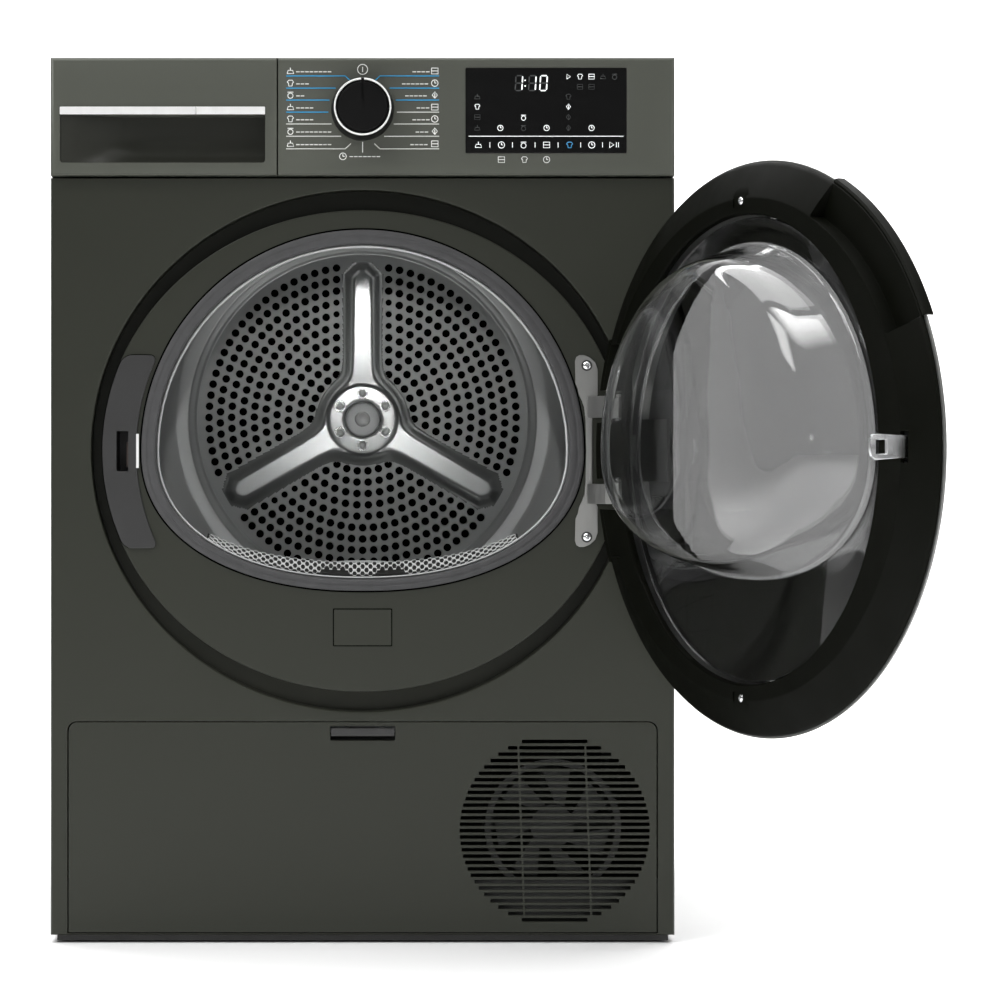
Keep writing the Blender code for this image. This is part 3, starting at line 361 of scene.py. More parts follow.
def lit(name, colour, strength):
    """A lit segment of the display."""
    surface = Surface(name, 0.4)
    glow = surface.colours(surface.noise(300.0), tint(colour, 0.94), tint(colour, 1.0))
    surface.links.new(glow, surface.shader.inputs["Emission Color"])
    surface.set(Emission_Strength=strength)
    return surface.material


def ink(name, colour):
    """Printed lines and symbols."""
    surface = Surface(name, 0.55)
    surface.colours(surface.noise(400.0), tint(colour, 0.93), tint(colour, 1.07))
    surface.rough(surface.noise(200.0), 0.45, 0.65)
    return surface.material


FRONT_GREY = srgb(41, 43, 35)
PANEL_GREY = srgb(82, 84, 77)
PLASTIC_GREY = srgb(41, 41, 41)

MATERIALS = {
    "enamel": enamel("enamel", FRONT_GREY),
    "side enamel": enamel("side_enamel", FRONT_GREY, 0.45),
    "fascia": enamel("fascia_paint", PANEL_GREY, 0.40),
    "grey plastic": moulding("grey_plastic", PLASTIC_GREY, 0.5),
    "black plastic": moulding("black_plastic", srgb(24, 24, 22), 0.42),
    "dark plastic": moulding("dark_plastic", srgb(34, 34, 33), 0.5),
    "pale plastic": moulding("pale_plastic", srgb(190, 192, 192), 0.5),
    "lattice white": moulding("lattice_white", srgb(252, 253, 252), 0.3),
    "tank plastic": moulding("tank_plastic", srgb(140, 146, 151), 0.4, shine=0.3),
    "board": moulding("board_lacquer", srgb(24, 92, 58), 0.4, 240.0),
    "black gloss": gloss("black_gloss", srgb(9, 9, 9), 0.10, 0.25),
    "print": gloss("black_print", srgb(10, 10, 10), 0.05),
    "door black": moulding("door_black", srgb(7, 8, 4), 0.50, 640.0, 0.05, 0.07),
    "trim": pressed("trim_metal", (0.185, 0.187, 0.180), 0.36),
    "knob black": moulding("knob_black", srgb(10, 10, 10), 0.45, 700.0, 0.05, 0.15),
    "rubber": rubber("seal_rubber", srgb(63, 63, 64)),
    "black rubber": rubber("black_rubber", srgb(30, 30, 30)),
    "felt": felt("grey_felt"),
    "drum steel": pressed("drum_steel", (0.62, 0.625, 0.62), 0.30, 0.7),
    "rear steel": pressed("rear_steel", (0.35, 0.36, 0.355), 0.30),
    "star steel": pressed("star_steel", (0.40, 0.41, 0.405), 0.15, 0.65),
    # The steps' steel is a lighter copy of the rear wall's: painted highlight.
    "step steel": pressed("step_steel_painted_highlight", (0.50, 0.51, 0.505), 0.30),
    "hub steel": pressed("hub_steel", (0.68, 0.69, 0.685), 0.36),
    "steel": brushed("plain_steel", (0.60, 0.60, 0.60), 0.28, (1, 0.1, 1)),
    "zinc": galvanised("galvanised"),
    "rear zinc": galvanised("rear_galvanised", 0.36),
    "bracket": brushed("bracket_metal", (0.33, 0.33, 0.32), 0.42, (1, 1, 0.15), 160.0, 0.1),
    "chrome": chrome("chrome"),
    "satin chrome": chrome("satin_chrome", 0.2),
    "aluminium": fins("aluminium_fins"),
    "copper": brushed("copper_pipe", (0.72, 0.38, 0.22), 0.28, (1, 1, 1), 60.0),
    "black enamel": enamel("black_enamel", srgb(26, 26, 26), 0.38),
    "glass": clear_glass("bowl_glass"),
    "smoked glass": smoked_glass("smoked_glass"),
    # The groove's enamel carries painted shade.
    "groove": groove_painted_shade("groove_painted_shade"),
    # The finger recess's enamel is darker than the fascia's: painted shade.
    "recess": enamel("recess_painted_shade", srgb(36, 37, 31), 0.5),
    "bright trim": brushed("bright_trim", (0.92, 0.92, 0.91), 0.34, (1, 1, 0.1), 120.0, 0.05, 0.35),
    "latch brown": moulding("latch_brown", srgb(52, 40, 36), 0.5),
    "white ink": ink("white_ink", srgb(245, 246, 243)),
    "blue ink": ink("blue_ink", srgb(10, 158, 214)),
    "pale ink": ink("pale_ink", srgb(214, 215, 210)),
    "shadow": moulding("shadow_black", srgb(3, 3, 3), 0.9, shine=0.0),
    "bright digits": lit("bright_digits", srgb(235, 238, 238), 1.0),
    "dim digits": lit("dim_digits", srgb(62, 64, 64), 0.15),
    "blue digit": lit("blue_digit", srgb(60, 140, 190), 0.8),
}


# Tools ------------------------------


def smooth(item, angle=32.0):
    """Smooth shading, with edges sharper than the angle kept."""
    item.data.shade_smooth()
    item.data.set_sharp_from_angle(angle=math.radians(angle))
    return item


def new_object(name, mesh):
    item = bpy.data.objects.new(name, mesh)
    bpy.context.scene.collection.objects.link(item)
    return item


def from_form(name, form):
    mesh = bpy.data.meshes.new(name)
    form.to_mesh(mesh)
    form.free()
    return new_object(name, mesh)


def evaluated(item):
    """The mesh that an object comes to once its modifiers or its curve are worked out."""
    bpy.context.view_layer.update()
    graph = bpy.context.evaluated_depsgraph_get()
    return bpy.data.meshes.new_from_object(item.evaluated_get(graph))


def settle(item):
    """Bakes the object's modifiers and place into its mesh."""
    mesh = evaluated(item)
    mesh.transform(item.matrix_world)
    name = item.name
    old = item.data
    bpy.data.objects.remove(item, do_unlink=True)
    if old.users == 0 and isinstance(old, bpy.types.Mesh):
        bpy.data.meshes.remove(old)
    return new_object(name, mesh)


def finish(item, material, body, *replaced, bevel=0.0, angle=32.0):
    """Gives a piece its rounded edges, material and body, and hides the CAD nodes that it stands for."""
    if bevel:
        step = item.modifiers.new("bevel", "BEVEL")
        step.width = bevel
        step.segments = 2
        step.limit_method = "ANGLE"
        step.angle_limit = math.radians(40)
        step.harden_normals = False
        item = settle(item)
    smooth(item, angle)
    item.data.materials.clear()
    item.data.materials.append(MATERIALS[material])
    if body == "door":
        item.data.transform(SWING)
    even = item.modifiers.new("even normals", "WEIGHTED_NORMAL")
    even.keep_sharp = True
    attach(item, body)
    if replaced:
        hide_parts(*replaced)
    return item


def aimed(place, direction):
    """The placement that points a shape's own Z along a direction."""
    turn = Vector((0, 0, 1)).rotation_difference(Vector(direction))
    return Matrix.Translation(place) @ turn.to_matrix().to_4x4()


def box(name, low, high):
    """A solid box between two corners."""
    low = Vector(low)
    high = Vector(high)
    form = bmesh.new()
    place = Matrix.Translation((low + high) / 2) @ Matrix.Diagonal((*(high - low), 1.0))
    bmesh.ops.create_cube(form, size=1.0, matrix=place)
    return from_form(name, form)


def cylinder(name, start, end, radius, sides=48):
    """A solid round bar between two points."""
    start = Vector(start)
    run = Vector(end) - start
    form = bmesh.new()
    bmesh.ops.create_cone(
        form,
        cap_ends=True,
        segments=sides,
        radius1=radius,
        radius2=radius,
        depth=run.length,
        matrix=aimed(start + run / 2, run),
    )
    return from_form(name, form)


def curve_mesh(name, curve, place):
    """Turns a curve into a closed mesh and puts it in its place."""
    guide = new_object(name, curve)
    mesh = evaluated(guide)
    form = bmesh.new()
    form.from_mesh(mesh)
    bmesh.ops.remove_doubles(form, verts=form.verts, dist=1e-6)
    bmesh.ops.recalc_face_normals(form, faces=form.faces)
    form.to_mesh(mesh)
    form.free()
    mesh.transform(place)
    bpy.data.objects.remove(guide, do_unlink=True)
    bpy.data.curves.remove(curve)
    return new_object(name, mesh)


def flat(name, outlines, low, high, facing=FACING_FRONT, round_edge=0.0):
    """A plate with the first outline's shape and the others as holes, from low to high across it."""
    curve = bpy.data.curves.new(name, "CURVE")
    curve.dimensions = "2D"
    curve.fill_mode = "BOTH"
    curve.extrude = (high - low) / 2 - round_edge
    curve.bevel_depth = round_edge
    curve.bevel_resolution = 1
    curve.offset = -round_edge
    for outline in outlines:
        spline = curve.splines.new("POLY")
        spline.points.add(len(outline) - 1)
        spline.use_cyclic_u = True
        for point, (across, up) in zip(spline.points, outline):
            point.co = (across, up, 0.0, 1.0)
    middle = (low + high) / 2
    offset = (0, 0, middle) if facing == FACING_UP else (0, middle, 0)
    return curve_mesh(name, curve, Matrix.Translation(offset) @ facing)


def wires(name, routes, radius, cyclic=()):
    """Thin round lines along several routes of (x, y, z) points."""
    curve = bpy.data.curves.new(name, "CURVE")
    curve.dimensions = "3D"
    curve.bevel_depth = radius
    curve.bevel_resolution = 1
    curve.use_fill_caps = True
    for number, route in enumerate(routes):
        spline = curve.splines.new("POLY")
        spline.points.add(len(route) - 1)
        spline.use_cyclic_u = number in cyclic
        for point, place in zip(spline.points, route):
            point.co = (*place, 1.0)
    return curve_mesh(name, curve, Matrix.Identity(4))


def turned(name, profile, centre, towards, sides=96, closed=False):
    """(radius, height) points turned about an axis through the centre."""
    form = bmesh.new()
    rings = []
    for radius, height in profile:
        turns = [math.tau * i / sides for i in range(sides)] if radius > 1e-7 else [0.0]
        rings.append([form.verts.new((radius * math.cos(t), radius * math.sin(t), height)) for t in turns])
    pairs = list(zip(rings, rings[1:]))
    if closed:
        pairs.append((rings[-1], rings[0]))
    for first, second in pairs:
        for i in range(sides):
            j = (i + 1) % sides
            near = [first[i % len(first)], first[j % len(first)]]
            far = [second[j % len(second)], second[i % len(second)]]
            face = list(dict.fromkeys(near + far))
            if len(face) > 2:
                form.faces.new(face)
    bmesh.ops.recalc_face_normals(form, faces=form.faces)
    form.transform(aimed(centre, towards))
    return from_form(name, form)


def add_rows(form, rows):
    """Rows of points as rows of the form's corners."""
    return [[form.verts.new(point) for point in row] for row in rows]


def skin(form, rows, looped=True):
    """Faces between rows of corners; a looped row ends where it starts."""
    for row, following in zip(rows, rows[1:]):
        for i in range(len(row) if looped else len(row) - 1):
            j = (i + 1) % len(row)
            form.faces.new((row[i], row[j], following[j], following[i]))


def bar(name, sections):
    """A closed solid that runs through the sections, each a ring of points."""
    form = bmesh.new()
    rows = add_rows(form, sections)
    skin(form, rows)
    form.faces.new(rows[0])
    form.faces.new(rows[-1])
    bmesh.ops.recalc_face_normals(form, faces=form.faces)
    return from_form(name, form)


def thicken(sheet, thickness, side=-1, even=False):
    """Gives a sheet its thickness, on one side of it or, where side is 0, on both."""
    wall = sheet.modifiers.new("wall", "SOLIDIFY")
    wall.thickness = thickness
    wall.offset = side
    wall.use_even_offset = even
    return sheet


def loft(name, rings, wall=None, cap=False, closed=False):
    """A sheet through the rings, with an even wall, a cap on the last or a way back to the first."""
    form = bmesh.new()
    rows = add_rows(form, rings)
    skin(form, rows + rows[:1] if closed else rows)
    if cap:
        form.faces.new(rows[-1])
    bmesh.ops.recalc_face_normals(form, faces=form.faces)
    sheet = from_form(name, form)
    if wall:
        thicken(sheet, abs(wall), math.copysign(1, wall), even=True)
    return sheet


def combine(item, others, operation, solver="EXACT"):
    for other in others:
        step = item.modifiers.new(operation.lower(), "BOOLEAN")
        step.solver = solver
        step.operation = operation
        step.object = other
    made = settle(item)
    for other in others:
        bpy.data.objects.remove(other, do_unlink=True)
    return made


def cut(item, *others):
    return combine(item, others, "DIFFERENCE")


def join(item, *others):
    return combine(item, others, "UNION")


def gather(name, items):
    """Several loose pieces as one object."""
    form = bmesh.new()
    for item in items:
        mesh = item.data.copy()
        mesh.transform(item.matrix_world)
        form.from_mesh(mesh)
        bpy.data.meshes.remove(mesh)
        bpy.data.objects.remove(item, do_unlink=True)
    return from_form(name, form)


def ease(value):
    """A smooth step from 0 to 1."""
    value = max(0.0, min(1.0, value))
    return value * value * (3 - 2 * value)


# Outlines, as (across, up) points ------------------------------


def rectangle(left, bottom, right, top):
    """Four corners, in order."""
    return [(left, bottom), (right, bottom), (right, top), (left, top)]


def rounded(left, bottom, right, top, lower, upper, steps=8):
    """A rectangle with one radius for its lower corners and another for its upper ones."""
    corners = (
        (right - lower, bottom + lower, lower, -90), (right - upper, top - upper, upper, 0),
        (left + upper, top - upper, upper, 90), (left + lower, bottom + lower, lower, 180),
    )
    outline = []
    for x, z, radius, start in corners:
        for step in range(steps + 1 if radius else 1):
            angle = math.radians(start + 90 * step / steps)
            outline.append((x + radius * math.cos(angle), z + radius * math.sin(angle)))
    return outline


def ellipse(half_width, half_height, count=FINE, centre=(0.0, OPENING_Z)):
    """An oval, from its right end."""
    turns = [math.tau * i / count for i in range(count)]
    return [
        (centre[0] + half_width * math.cos(turn), centre[1] + half_height * math.sin(turn))
        for turn in turns
    ]


def circle(x, z, radius, count=48):
    return ellipse(radius, radius, count, (x, z))


def opening(radius, drop, count=FINE):
    """A half circle above the opening's centre and a flatter, squarer curve below it."""
    outline = []
    for i in range(count):
        across = math.cos(math.tau * i / count)
        up = math.sin(math.tau * i / count)
        power = 2 / LOWER_CURVE if up < 0 else 1
        height = radius if up >= 0 else drop
        x = math.copysign(abs(across) ** power, across) * radius
        z = math.copysign(abs(up) ** power, up) * height
        outline.append((x, OPENING_Z + z))
    return outline


def opening_half_width(radius, drop, z):
    """Half of the opening's width at a height."""
    if z >= OPENING_Z:
        return math.sqrt(radius**2 - (z - OPENING_Z) ** 2)
    return radius * (1 - ((OPENING_Z - z) / drop) ** LOWER_CURVE) ** (1 / LOWER_CURVE)


def opening_floor(radius, drop, x):
    """The height of the opening's lower curve at a distance from the middle."""
    return OPENING_Z - drop * (1 - abs(x / radius) ** LOWER_CURVE) ** (1 / LOWER_CURVE)


def box_around(left, bottom, right, top, count=FINE):
    """A rectangle whose points lie on rays from the opening's centre, one for each ellipse point."""
    outline = []
    for i in range(count):
        turn = math.tau * i / count
        across = math.cos(turn)
        up = math.sin(turn)
        reach = []
        if abs(across) > 1e-9:
            reach.append((right if across > 0 else left) / across)
        if abs(up) > 1e-9:
            reach.append(((top if up > 0 else bottom) - OPENING_Z) / up)
        outline.append((across * min(reach), OPENING_Z + up * min(reach)))
    for corner in rectangle(left, bottom, right, top):
        nearest = min(range(count), key=lambda i: math.dist(outline[i], corner))
        outline[nearest] = corner
    return outline


def at_depth(outline, y):
    return [(x, y, z) for x, z in outline]


def opening_ring(radius, drop, y):
    return at_depth(opening(radius, drop), y)


def ellipse_ring(half_width, half_height, y):
    return at_depth(ellipse(half_width, half_height), y)


HINGE = Vector(next(joint["pos_m"] for joint in frame["joints"] if joint["name"] == "door_hinge"))
SWING = Matrix.Translation(HINGE) @ Matrix.Rotation(DOOR_OPEN, 4, "Z") @ Matrix.Translation(-HINGE)


# Cabinet ------------------------------


def cabinet():
    """The sheet-metal shell keeps its CAD shape and takes a finer surface."""
    nodes_by_material = {
        "side enamel": "left_side_panel right_side_panel",
        "rear zinc": "rear_panel rear_duct_cover",
        "black plastic": "base_tray mains_inlet hinge_leaf",
        "dark plastic": "fan_shroud cooling_fan process_fan exchanger_cover condensate_pump idler_pulley",
        "pale plastic": (
            "front_bulkhead tank_guide cover_lever_left cover_lever_right lifter_1 lifter_2 lifter_3"
        ),
        "tank plastic": "water_tank",
        "black rubber": (
            "drive_belt drain_hose drum_roller_left drum_roller_right foot_front_left foot_front_right"
        ),
        "felt": "drum_felt_seal",
        "zinc": "bearing_housing idler_arm",
        "steel": "drum_shaft motor_pulley hinge_pin",
        "black enamel": "drive_motor compressor",
        "aluminium": "evaporator condenser",
        "copper": "refrigerant_pipe",
        "board": "display_board",
    }
    for material, nodes in nodes_by_material.items():
        for node in nodes.split():
            item = frame["nodes"][node]
            item.data.materials.clear()
            item.data.materials.append(MATERIALS[material])


def worktop():
    """The top board, with a soft edge."""
    low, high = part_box("worktop")
    top = flat(
        "worktop_board",
        [rounded(low.x, low.y, high.x, high.y, 0.004, 0.006)],
        low.z,
        high.z,
        FACING_UP,
        round_edge=0.002,
    )
    finish(top, "side enamel", "cabinet", "worktop")


def front_panel():
    """The painted front, with softly rounded folds and the groove that the shut door's rim lies in."""
    floor = FRONT + 0.012
    folds = (
        (0, FOLD_BACK),
        (0, FRONT + 0.0040),
        (0.0004, FRONT + 0.0022),
        (0.0014, FRONT + 0.0008),
        (0.0036, FRONT),
    )
    rings = [
        at_depth(box_around(inset - HALF, PANEL_BOTTOM + inset, HALF - inset, PANEL_TOP - inset * 0.2), y)
        for inset, y in folds
    ]
    outer_steps = ((0.0012, FRONT), (0, FRONT + 0.0005), (-0.0007, FRONT + 0.0018), (-0.0014, floor))
    inner_steps = ((0.0010, floor), (0.0004, FRONT + 0.0016), (0, FRONT + 0.0005), (-0.0012, FRONT))
    mouth = ((0.207, 0.130, FRONT), (0.205, 0.128, FRONT + 0.0008), (0.205, 0.128, FRONT + 0.0150))
    rings += [ellipse_ring(0.2604 + grow, 0.2504 + grow, y) for grow, y in outer_steps]
    rings += [ellipse_ring(0.2494 + grow, 0.2303 + grow, y) for grow, y in inner_steps]
    rings += [opening_ring(*step) for step in mouth]
    panel = loft("front_sheet", rings, wall=-SHEET)
    flap_edge = rounded(-0.2827, 0.0095, 0.2827, 0.2126, 0.0, 0.0090)
    flap_hole = flat("flap_hole", [flap_edge], FRONT - 0.01, FRONT + 0.01)
    lock_hole = box("lock_hole", (-0.2390, -0.29, 0.4485), (-0.2205, -0.27, 0.4940))
    panel = finish(cut(panel, flap_hole, lock_hole), "enamel", "cabinet", "front_panel")
    paint_groove_shade(panel)


def paint_groove_shade(panel):
    """Gives the enamel with painted shade to the faces that lie between the groove's two walls, below the
    surface.
    """
    panel.data.materials.append(MATERIALS["groove"])
    for face in panel.data.polygons:
        x, y, z = face.center
        within_outer = math.hypot(x / 0.2612, (z - OPENING_Z) / 0.2512) < 1.006
        beyond_inner = math.hypot(x / 0.2492, (z - OPENING_Z) / 0.2301) > 0.994
        if y > FRONT + 0.0020 and within_outer and beyond_inner:
            face.material_index = 1


def painted_gap_shadow(name, *outlines):
    """A thin black layer on the front: painted shadow that shows as the gap around a piece."""
    finish(flat(name, outlines, FRONT - 0.0003, FRONT - 0.0001), "shadow", "cabinet")


def door_seal():
    """The rubber face around the opening, with a raised inner bead and a lip that turns inwards."""
    section = (
        (SEAL_RADIUS - 0.0012, SEAL_DROP - 0.0012, FRONT - 0.0004),
        (SEAL_RADIUS - 0.0014, SEAL_DROP - 0.0014, -0.2820),
        (SEAL_RADIUS - 0.0027, SEAL_DROP - 0.0027, -0.2830), (0.2075, 0.1300, -0.2832),
        (0.2065, 0.1292, -0.2826), (0.2050, 0.1280, -0.2826), (0.2040, 0.1272, -0.2832),
        (0.2005, 0.1245, -0.2832), (0.1990, 0.1233, -0.2824), (0.1985, 0.1230, -0.2800),
        (0.1985, 0.1230, -0.2602), (0.2043, 0.1273, -0.2602), (0.2043, 0.1273, FRONT - 0.0004),
    )
    rings = [opening_ring(*point) for point in section]
    finish(loft("seal_ring", rings, closed=True), "rubber", "cabinet", "door_seal")
    # Painted shadow in the gap round the seal's outer edge.
    gap = [opening(SEAL_RADIUS + grow, SEAL_DROP + grow) for grow in (0.0004, -0.0020)]
    painted_gap_shadow("seal_gap_shadow", *gap)


def throat_trim():
    """The bright pressed ring just inside the seal."""
    section = (
        (0.1978, 0.1224, -0.2700), (0.1968, 0.1216, -0.2712), (0.1958, 0.1208, -0.2700),
        (0.1958, 0.1208, -0.2660), (0.1978, 0.1224, -0.2660),
    )
    rings = [opening_ring(*point) for point in section]
    finish(loft("throat_bead", rings, closed=True), "pale plastic", "cabinet")


def lock_outline(grow=0.0):
    """The lock cover's outline: a band between the groove and the seal, with round corners."""
    low = 0.3784 - grow
    high = 0.5630 + grow
    corner = 0.0075 + grow
    turns = [math.pi / 2 * step / 8 for step in range(9)]
    insets = [corner * (1 - math.sin(turn)) for turn in turns]
    heights = [low + corner * (1 - math.cos(turn)) for turn in turns]
    middle = [low + corner + (high - low - 2 * corner) * step / 40 for step in range(1, 40)]
    insets += [0.0] * len(middle) + insets[::-1]
    heights += middle + [high - (z - low) for z in heights[::-1]]
    outer = []
    inner = []
    for z, inset in zip(heights, insets):
        left = -0.2490 * math.sqrt(1 - ((z - OPENING_Z) / 0.2300) ** 2) - grow
        right = min(-opening_half_width(0.2163, 0.1383, z), left + 0.0325) + grow
        outer.append((left + inset, z))
        inner.append((right - inset, z))
    return outer + inner[::-1]


def lock_plate():
    """The lock's cover, with its slot, catch and bright strip, and the painted shadow of the gap around it.
    """
    # Painted shadow in the gap round the lock cover.
    painted_gap_shadow("lock_gap_shadow", lock_outline(0.0009), lock_outline(-0.0008))
    plate = flat("lock_face", [lock_outline()], -0.2830, FRONT - 0.0004, round_edge=0.0006)
    plate = join(plate, box("socket", (-0.2385, -0.2820, 0.4490), (-0.2210, -0.2400, 0.4935)))
    slot = flat("slot", [rounded(-0.2355, 0.4520, -0.2240, 0.4905, 0.0015, 0.0015)], -0.29, -0.2430)
    plate = cut(plate, slot)
    finish(plate, "grey plastic", "cabinet", "lock_plate")
    latch = box("lock_catch", (-0.2268, -0.2740, 0.4560), (-0.2243, -0.2600, 0.4800))
    finish(latch, "latch brown", "cabinet", bevel=0.0006)
    strip = box("lock_strip", (-0.2166, -0.2833, 0.4552), (-0.2140, -0.2829, 0.4878))
    finish(strip, "bright trim", "cabinet", bevel=0.0001)


def blank_plate():
    """The small painted plate below the opening, with the painted shadow of its gap."""
    # Painted shadow in the gap round the plate.
    painted_gap_shadow("plate_shadow", rounded(-0.0284, 0.2844, 0.0284, 0.3206, 0.0010, 0.0010, 3))
    face = rounded(-0.0274, 0.2854, 0.0274, 0.3196, 0.0005, 0.0005, 3)
    plate = flat("blanking_plate", [face], FRONT - 0.0006, FRONT - 0.0002)
    finish(plate, "enamel", "cabinet", bevel=0.0001)


def cross_screw(name, x, y, z, radius, body, towards=-1, material="chrome"):
    """A pan-head screw with a cross recess, facing the front or, on the door, the back."""
    dome = ((0, 0.0011), (radius * 0.45, 0.0010), (radius * 0.8, 0.0006), (radius, 0.0))
    shank = ((radius, -0.001), (0, -0.001))
    head = turned(name, (*dome, *shank), (x, y, z), (0, towards, 0), 32)
    tip = y + towards * 0.0002
    arm = radius * 0.55
    thin = radius * 0.14
    far = y + towards * 0.003
    low, high = sorted((tip, far))
    across = box("across", (x - arm, low, z - thin), (x + arm, high, z + thin))
    upright = box("upright", (x - thin, low, z - arm), (x + thin, high, z + arm))
    finish(cut(head, across, upright), material, body)


def tank_moulding():
    """Shallow ribs across the water tank's top and the cap that it is emptied through."""
    low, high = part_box("water_tank")
    top = high.z
    for i in range(7):
        y = low.y + 0.110 + 0.040 * i
        ends = ((low.x + 0.008, y - 0.004, top - 0.001), (high.x - 0.008, y + 0.004, top + 0.0008))
        rib = box("tank_rib", *ends)
        finish(rib, "tank plastic", "tank_drawer", bevel=0.0007)
    profile = ((0, 0.0010), (0.0212, 0.0010), (0.0220, 0.0004), (0.0220, -0.0010), (0, -0.0010))
    cap = turned("tank_cap", profile, (low.x + 0.060, low.y + 0.050, top), (0, 0, 1), 48)
    finish(cap, "dark plastic", "tank_drawer")


def rear_fittings():
    """Screws around the rear sheet and its duct cover, and a block of louvres pressed in the sheet."""
    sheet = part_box("rear_panel")[1].y
    flange = sheet + 0.0015
    for z in (0.040, 0.300, 0.560, 0.800):
        for x in (-0.284, 0.284):
            cross_screw("rear_screw", x, sheet, z, 0.0040, "cabinet", 1, "steel")
    around = [(0, DRUM_Z, 0.240, degrees) for degrees in (-140, -90, -40, 10, 60)]
    around += [(0.140, 0.165, 0.100, degrees) for degrees in (110, 180)]
    for x, z, radius, degrees in around:
        turn = math.radians(degrees)
        x += radius * math.sin(turn)
        z += radius * math.cos(turn)
        cross_screw("duct_screw", x, flange, z, 0.0034, "cabinet", 1, "steel")
    for i in range(7):
        z = 0.170 + 0.015 * i
        louvre = box("rear_louvre", (-0.250, sheet - 0.001, z - 0.003), (-0.140, sheet + 0.003, z + 0.003))
        finish(louvre, "rear zinc", "cabinet", bevel=0.0022)


def hinge():
    """The bracket with its flared ends and screws, and the two arms that carry the pin."""
    middle = OPENING_Z
    half_height = 0.0918
    rights = (
        (0.2120, half_height), (0.2175, 0.0895), (0.2225, 0.0850), (0.2250, 0.0780),
        (0.2250, 0.0540), (0.2235, 0.0500), (0.2198, 0.0470),
    )
    lefts = (
        (0.2140, 0), (0.2133, 0.0300), (0.2120, 0.0420), (0.2098, 0.0480), (0.2070, 0.0540),
        (0.2058, 0.0600), (0.2036, 0.0650), (0.2032, 0.0860), (0.2045, 0.0900),
        (0.2075, half_height),
    )
    upper = [(x, middle + up) for x, up in (*rights[::-1], *lefts[::-1])]
    lower = [(x, middle - up) for x, up in (*lefts[1:], *rights)]
    bracket = flat("bracket_plate", [upper + lower], -0.2818, FRONT - 0.0004, round_edge=0.0004)
    section = [
        (0.2150, -0.2805), (0.2150, -0.2900), (0.2300, -0.3100), (0.2400, -0.3120),
        (0.2465, -0.3060), (0.2440, -0.2990), (0.2320, -0.2960), (0.2245, -0.2880),
        (0.2225, -0.2805),
    ]
    arms = [flat("arm", [section], low, high, FACING_UP, round_edge=0.0008) for low, high in KNUCKLES]
    bracket = join(bracket, *arms)
    finish(bracket, "bracket", "cabinet", "hinge_bracket")
    profile = ((0.0052, 0.0), (0.0052, 0.0006), (0.0034, 0.0006), (0.0034, 0.0))
    for z in (0.3890, 0.5532):
        ring = turned("screw_ring", profile, (0.2145, -0.2819, z), (0, -1, 0), 40, closed=True)
        finish(ring, "dark plastic", "cabinet")
        cross_screw("hinge_screw", 0.2145, -0.2825, z, 0.0036, "cabinet")


# Control panel ------------------------------


def panel_block(name, left, right, round_left, round_right):
    """One half of the control panel: a box whose top edge and outer side are rounded."""
    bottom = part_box("control_fascia")[0].z
    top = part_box("control_fascia")[1].z
    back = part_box("control_fascia")[1].y
    depths = (
        (0.0, back), (0.0, FASCIA_FRONT + 0.0060), (0.0006, FASCIA_FRONT + 0.0028),
        (0.0020, FASCIA_FRONT + 0.0010), (0.0044, FASCIA_FRONT),
    )
    rows = []
    for inset, y in depths:
        left_inset = inset if round_left else min(inset, 0.0006)
        right_inset = inset if round_right else min(inset, 0.0006)
        outline = [
            (left + left_inset, bottom + min(inset, 0.0008)),
            (right - right_inset, bottom + min(inset, 0.0008)),
            (right - right_inset, top - inset * 1.1),
            (left + left_inset, top - inset * 1.1),
        ]
        rows.append(at_depth(outline, y))
    return bar(name, rows)


def control_fascia():
    """The fixed half of the panel, hollow, with room for the display and the knob's shaft."""
    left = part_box("control_fascia")[0].x
    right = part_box("control_fascia")[1].x
    shell = panel_block("fascia_shell", left, right, False, True)
    wall = 0.0035
    play = 0.0003
    hollow = box("hollow", (left + wall, FASCIA_FRONT + wall, 0.738), (right - wall, -0.25, 0.8435))
    low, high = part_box("display_window")
    pocket = box("pocket", (low.x - play, -0.30, low.z - play), (high.x + play, -0.2857, high.z + play))
    way = cylinder("way", (0, -0.30, KNOB_Z), (0, -0.27, KNOB_Z), 0.010)
    finish(cut(shell, hollow, pocket, way), "fascia", "cabinet", "control_fascia", angle=40)


def drawer():
    """The water tank's front, with a finger recess under its bright strip."""
    low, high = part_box("drawer_front")
    shell = panel_block("drawer_shell", low.x, high.x, True, False)
    left = -0.2890
    right = -0.0930
    bottom = 0.7466
    top = 0.7924
    mouth = flat("mouth", [rounded(left, bottom, right, top, 0.0030, 0.0)], -0.30, -0.2650)
    finish(cut(shell, mouth), "fascia", "tank_drawer", "drawer_front", angle=40)
    finger_recess(left, bottom, right, top)
    strip_low, strip_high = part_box("tank_handle_trim")
    strip = box("bright_strip", strip_low, strip_high)
    finish(strip, "bright trim", "tank_drawer", "tank_handle_trim", bevel=0.0010)


def finger_recess(left, bottom, right, top):
    """The recess's back: level with the front at its left and its lower edge, and swept inwards."""
    play = 0.0002
    depth = 0.0205
    across = 36
    upward = 14
    rows = []
    for j in range(upward + 1):
        v = j / upward
        row = []
        for i in range(across + 1):
            u = i / across
            x = left + play + (right - left - 2 * play) * u
            z = bottom + play + (top - bottom - 2 * play) * v
            sweep = ease(u / 0.42)
            bowl = math.sin(math.pi / 2 * min(1.0, v * 1.7)) ** 0.8
            row.append((x, FASCIA_FRONT + 0.0012 + depth * sweep * bowl, z))
        rows.append(row)
    form = bmesh.new()
    skin(form, add_rows(form, rows), looped=False)
    back = thicken(from_form("recess_back", form), 0.0008)
    # Painted shade: the recess's back takes a darker enamel than the fascia around it.
    finish(settle(back), "recess", "tank_drawer", angle=50)


